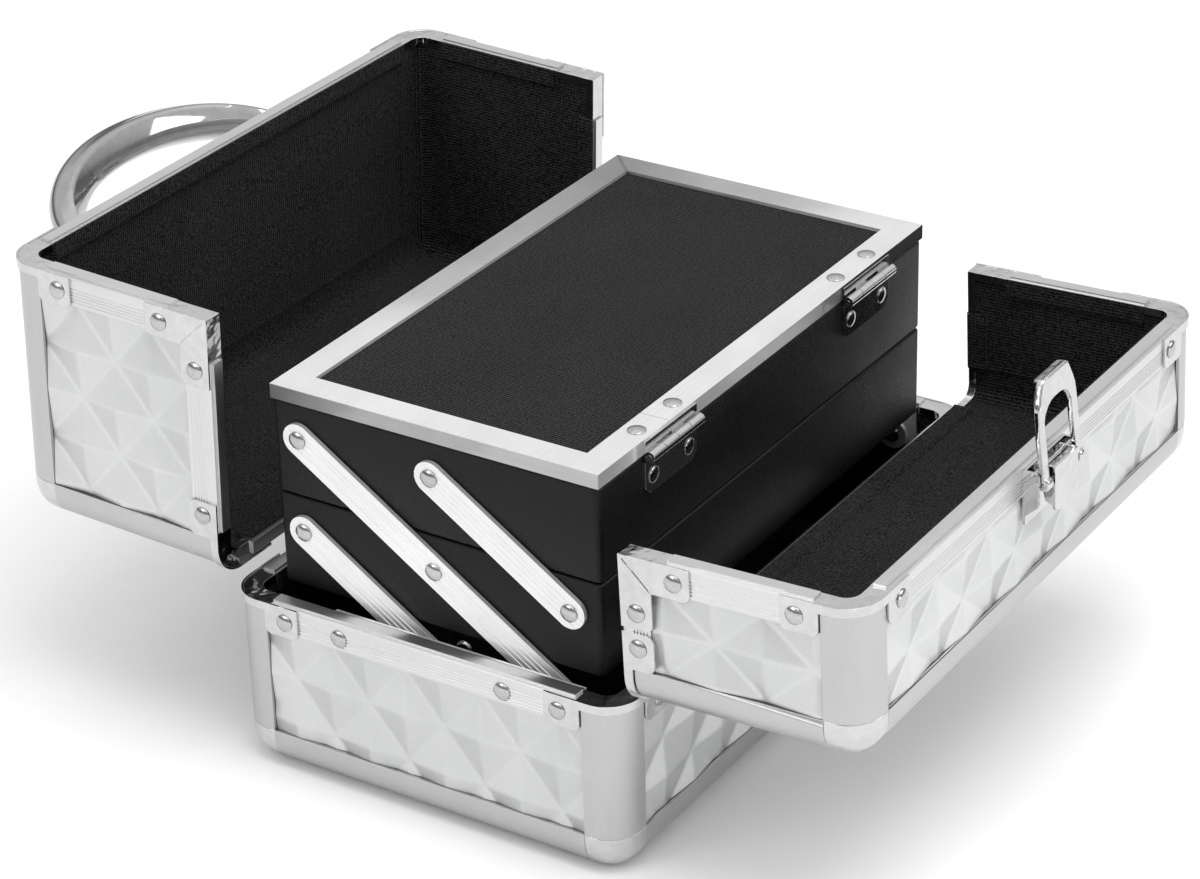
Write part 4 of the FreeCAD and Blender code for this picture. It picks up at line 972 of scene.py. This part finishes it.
def on_pin(name, node, parts, joint, shell, lean):
    """A piece made in mm about a joint's pin and leaned over, on an opened shell."""
    turn = (opened(shell).to_3x3() @ Matrix.Rotation(lean, 3, "X")).to_4x4()
    pin = next(Vector(j["pos_m"]) for j in frame["joints"] if j["name"] == joint)
    mesh = joined_mesh(name, parts, Matrix.Translation(pin) @ turn @ Matrix.Scale(MM, 4))
    smooth(mesh, 40)
    box_uv(mesh, opened(shell), lengthways=True)
    finished(name, node, mesh)


def grip_section(spread_at, in_plane, across):
    """A section of the grip: round outside with a hollow down each side, a ridge, and
    a flatter finger face inside. spread_at is 0 at mid grip and 1 at a leg."""
    swell = math.exp(-(spread_at / SWELL_SPREAD) ** 2)
    crease = math.radians(CREASE + CREASE_MORE * swell)
    hollow = HOLLOW + HOLLOW_MORE * swell
    dip = FINGER_DIP * math.exp(-((spread_at - DIP_AT) / DIP_SPREAD) ** 2)
    inner = FINGER_FACE + FINGER_MORE * swell - dip
    outline = []
    for step in range(OUTER_STEPS + 1):
        share = 2 * step / OUTER_STEPS - 1
        turn = crease * share
        reach = 1 - hollow * math.sin(math.pi * abs(share) ** SECTION_BEND) ** 2
        outline.append((reach * math.cos(turn), reach * math.sin(turn)))
    edge = (math.cos(crease), math.sin(crease))
    for step in range(1, INNER_STEPS):
        side = 1 - 2 * step / INNER_STEPS
        depth = 1 - abs(side) ** SECTION_BEND
        outline.append((edge[0] - (inner + edge[0]) * depth, edge[1] * side))
    return [(in_plane * a, across * b) for a, b in outline]


def make_handle():
    """The chromed bail: a half ellipse, thickest at the grip, on two barrel eyes."""
    start = math.asin(GRIP_START / HANDLE_RISE)
    rings = []
    for row in range(GRIP_STEPS + 1):
        turn = start + (math.pi - 2 * start) * row / GRIP_STEPS
        from_middle = abs(2 * row / GRIP_STEPS - 1)
        grow = (math.cos(from_middle * math.pi / 2) ** GRIP_FULLNESS
                if from_middle < 1 else 0.0)
        in_plane, across = [leg + (grip - leg) * grow
                            for leg, grip in zip(LEG_SIZE, GRIP_SIZE)]
        middle = np.array((HANDLE_HALF * math.cos(turn), HANDLE_RISE * math.sin(turn)))
        tangent = np.array((-HANDLE_HALF * math.sin(turn), HANDLE_RISE * math.cos(turn)))
        tangent /= np.linalg.norm(tangent)
        outward = np.array((tangent[1], -tangent[0]))
        rings.append([(*(middle + outward * a), b)
                      for a, b in grip_section(from_middle, in_plane, across)])
    ends = []
    for side, ring in ((1, rings[0]), (-1, rings[-1])):
        centre = np.array(ring).mean(0)
        ends.append([[(side * HANDLE_HALF + (p[0] - centre[0]) / LEG_SIZE[0] * wide, high,
                       (p[2] - centre[2]) / LEG_SIZE[1] * thick) for p in ring]
                     for high, wide, thick in LEG_STATIONS])
    bail = lofted(ends[0][::-1] + rings + ends[1])
    on_pin("handle_bail", "handle_grip", [bail] + eyes(HANDLE_EYE, HANDLE_HALF),
           "handle_swing", "rear_lid", math.pi / 2 + math.radians(HANDLE_LEAN))


def bar_section(outer, inner, thick, round_off, round_steps=4):
    """A rounded bar section between an outer and an inner point of the loop."""
    outer, inner = np.array(outer), np.array(inner)
    wide = np.linalg.norm(outer - inner)
    along = (inner - outer) / wide
    ring = []
    for corner, (ca, cz) in enumerate(((1, 1), (0, 1), (0, -1), (1, -1))):
        for step in range(round_steps + 1):
            turn = (corner + step / round_steps) * math.pi / 2
            a = (wide - round_off if ca else round_off) + round_off * math.cos(turn)
            z = cz * (thick / 2 - round_off) + round_off * math.sin(turn)
            ring.append((*(outer + along * a), z))
    return ring


def make_loop():
    """The latch loop: an upside-down U of thick bar with barrel eyes at its feet and a
    hook at its head that drops behind the keeper."""
    left = [((-o[0], o[1]), (-i[0], i[1])) for o, i in reversed(LOOP_STATIONS)]
    bar = lofted([bar_section(o, i, LOOP_THICK, LOOP_ROUND)
                  for o, i in LOOP_STATIONS + left])
    hook = lofted([[(x, y + dy * trim, z + dz * trim) for y, z, dy, dz in HOOK_SECTION]
                   for x, trim in HOOK_ENDS])
    on_pin("latch_loop_bar", "latch_loop", [bar] + eyes(LOOP_EYE, LOOP_EYE_AT) + [hook],
           "latch_loop_swing", "front_lid", -math.radians(LOOP_LEAN))


# ---------------------------------------------------------------- metal pieces
def fold_lines(node):
    """The pressed line from each square bracket's inner corner to its outer one, as
    a low bead that belongs to the bracket."""
    inward = 1 if node.startswith("rear") else -1
    slant = np.array((0, inward, 1))
    taper = slant / math.sqrt(2) * FOLD_TAPER * MM
    half = np.array((0, -inward, 1)) / math.sqrt(2) * FOLD_WIDE / 2 * MM
    shoulder = half * FOLD_SHOULDER
    parts = []
    for solid in islands(node):
        low, high = solid.min(0), solid.max(0)
        end = 1 if low[0] + high[0] > 0 else -1
        corner = np.array((high[0] if end > 0 else low[0],
                           low[1] if inward > 0 else high[1], low[2]))
        start = corner + slant * FOLD_FROM * MM
        stop = corner + slant * FOLD_TO * MM
        rise = np.array((end, 0, 0)) * FOLD_HIGH * MM
        sink = np.array((-end, 0, 0)) * FOLD_SUNK * MM
        bead = [start + sink - half, start + sink + half, start - shoulder,
                start + shoulder, stop + sink - half, stop + sink + half,
                stop - shoulder, stop + shoulder, start + taper + rise,
                stop - taper + rise]
        parts.append((np.array(bead), FOLD_FACES))
    mesh = joined_mesh(node + "_folds", parts, opened_node(node))
    box_uv(mesh, opened_node(node))
    finished(node + "_folds", node, mesh)


def make_metals():
    """Every node that isn't remade above, with its sharp edges broken."""
    slope = Matrix.Rotation(ARM_SLOPE, 4, "X")
    for node in ("rear_lid_square_brackets", "front_lid_square_brackets"):
        fold_lines(node)
    for node in sorted(frame["nodes"]):
        if not node.endswith(REMADE):
            width = next((w for key, w in EDGE_WIDTHS.items() if key in node),
                         EDGE_WIDTH_ELSE)
            refined(node, width * MM, turn=slope if "_arm_" in node else None)


# ---------------------------------------------------------------- studio
FLOOR_HALF, FLOOR_STEP = 9.0, 1.0
FLOOR_GREYS = (0.80, 0.82)
# Area lights: where each is, what it faces, its two sides, and its power in watts.
LIGHTS = {
    "key": ((-0.15, -0.45, 1.5), (0, 0, 0.08), (0.9, 0.9), 12),
    "left": ((-1.3, 0.5, 0.8), (0, 0, 0.08), (0.6, 0.6), 3.5),
    "right": ((0.7, -1.4, 0.8), (0, 0, 0.08), (0.8, 0.6), 4.2),
    "low": ((-0.3, -1.5, 0.12), (0, 0, 0.05), (0.9, 0.2), 1.6),
}
# The surroundings' grey from the horizon, at 0, to straight up, at 1.
SURROUNDINGS = ((0.0, 0.20), (0.12, 0.17), (0.24, 0.46), (0.42, 0.70), (0.62, 0.72),
                (0.80, 1.0))
SURROUNDINGS_STRENGTH = 1.25


def make_floor():
    lines = np.arange(-FLOOR_HALF, FLOOR_HALF + FLOOR_STEP / 2, FLOOR_STEP)
    grid_x, grid_y = np.meshgrid(lines, lines, indexing="ij")
    level = np.full(grid_x.shape, CAD_BOX[0][2])
    points = np.stack([grid_x, grid_y, level], -1).reshape(-1, 3)
    mesh = bpy.data.meshes.new("floor")
    mesh.from_pydata(points.tolist(), [],
                     grid_faces(np.arange(len(points)).reshape(grid_x.shape)))
    floor = in_scene(bpy.data.objects.new("floor", mesh))
    made, tree, bsdf = material("floor_paper", Specular_IOR_Level=0.2)
    cloud = solid_noise(tree, 3.0, 3.0)
    wire(tree, ramp(tree, cloud, (0.3, FLOOR_GREYS[0]), (0.7, FLOOR_GREYS[1])),
         bsdf, "Base Color")
    wire(tree, spread(tree, cloud, 0.75, 0.85), bsdf, "Roughness")
    mesh.materials.append(made)


def area_light(name, at, towards, size, power):
    data = bpy.data.lights.new(name, "AREA")
    data.shape = "RECTANGLE"
    data.size, data.size_y = size
    data.energy = power
    light = in_scene(bpy.data.objects.new(name, data))
    aim = (Vector(towards) - Vector(at)).to_track_quat("-Z", "Y")
    light.matrix_world = Matrix.Translation(Vector(at)) @ aim.to_matrix().to_4x4()


def make_studio():
    make_floor()
    for name, settings in LIGHTS.items():
        area_light(name, *settings)
    world = bpy.data.worlds.new("studio")
    bpy.context.scene.world = world
    world.use_nodes = True
    tree = world.node_tree
    place = add(tree, "TexCoord").outputs["Generated"]
    height = add(tree, "SeparateXYZ", Vector=place).outputs["Z"]
    back = tree.nodes["Background"]
    tree.links.new(ramp(tree, height, *SURROUNDINGS), back.inputs["Color"])
    back.inputs["Strength"].default_value = SURROUNDINGS_STRENGTH
    bpy.context.scene.view_settings.view_transform = "Standard"


# ---------------------------------------------------------------- the case
make_camera()
MATERIALS = make_materials()
make_skins()
for shell, open_sides in LINED.items():
    make_lining(shell, open_sides, CLOTH_BEND, CLOTH, wrap=True)
for tray in ("lower_tray", "upper_tray"):
    make_tray(tray)
make_lid_cloth()
make_handle()
make_loop()
make_metals()
make_studio()
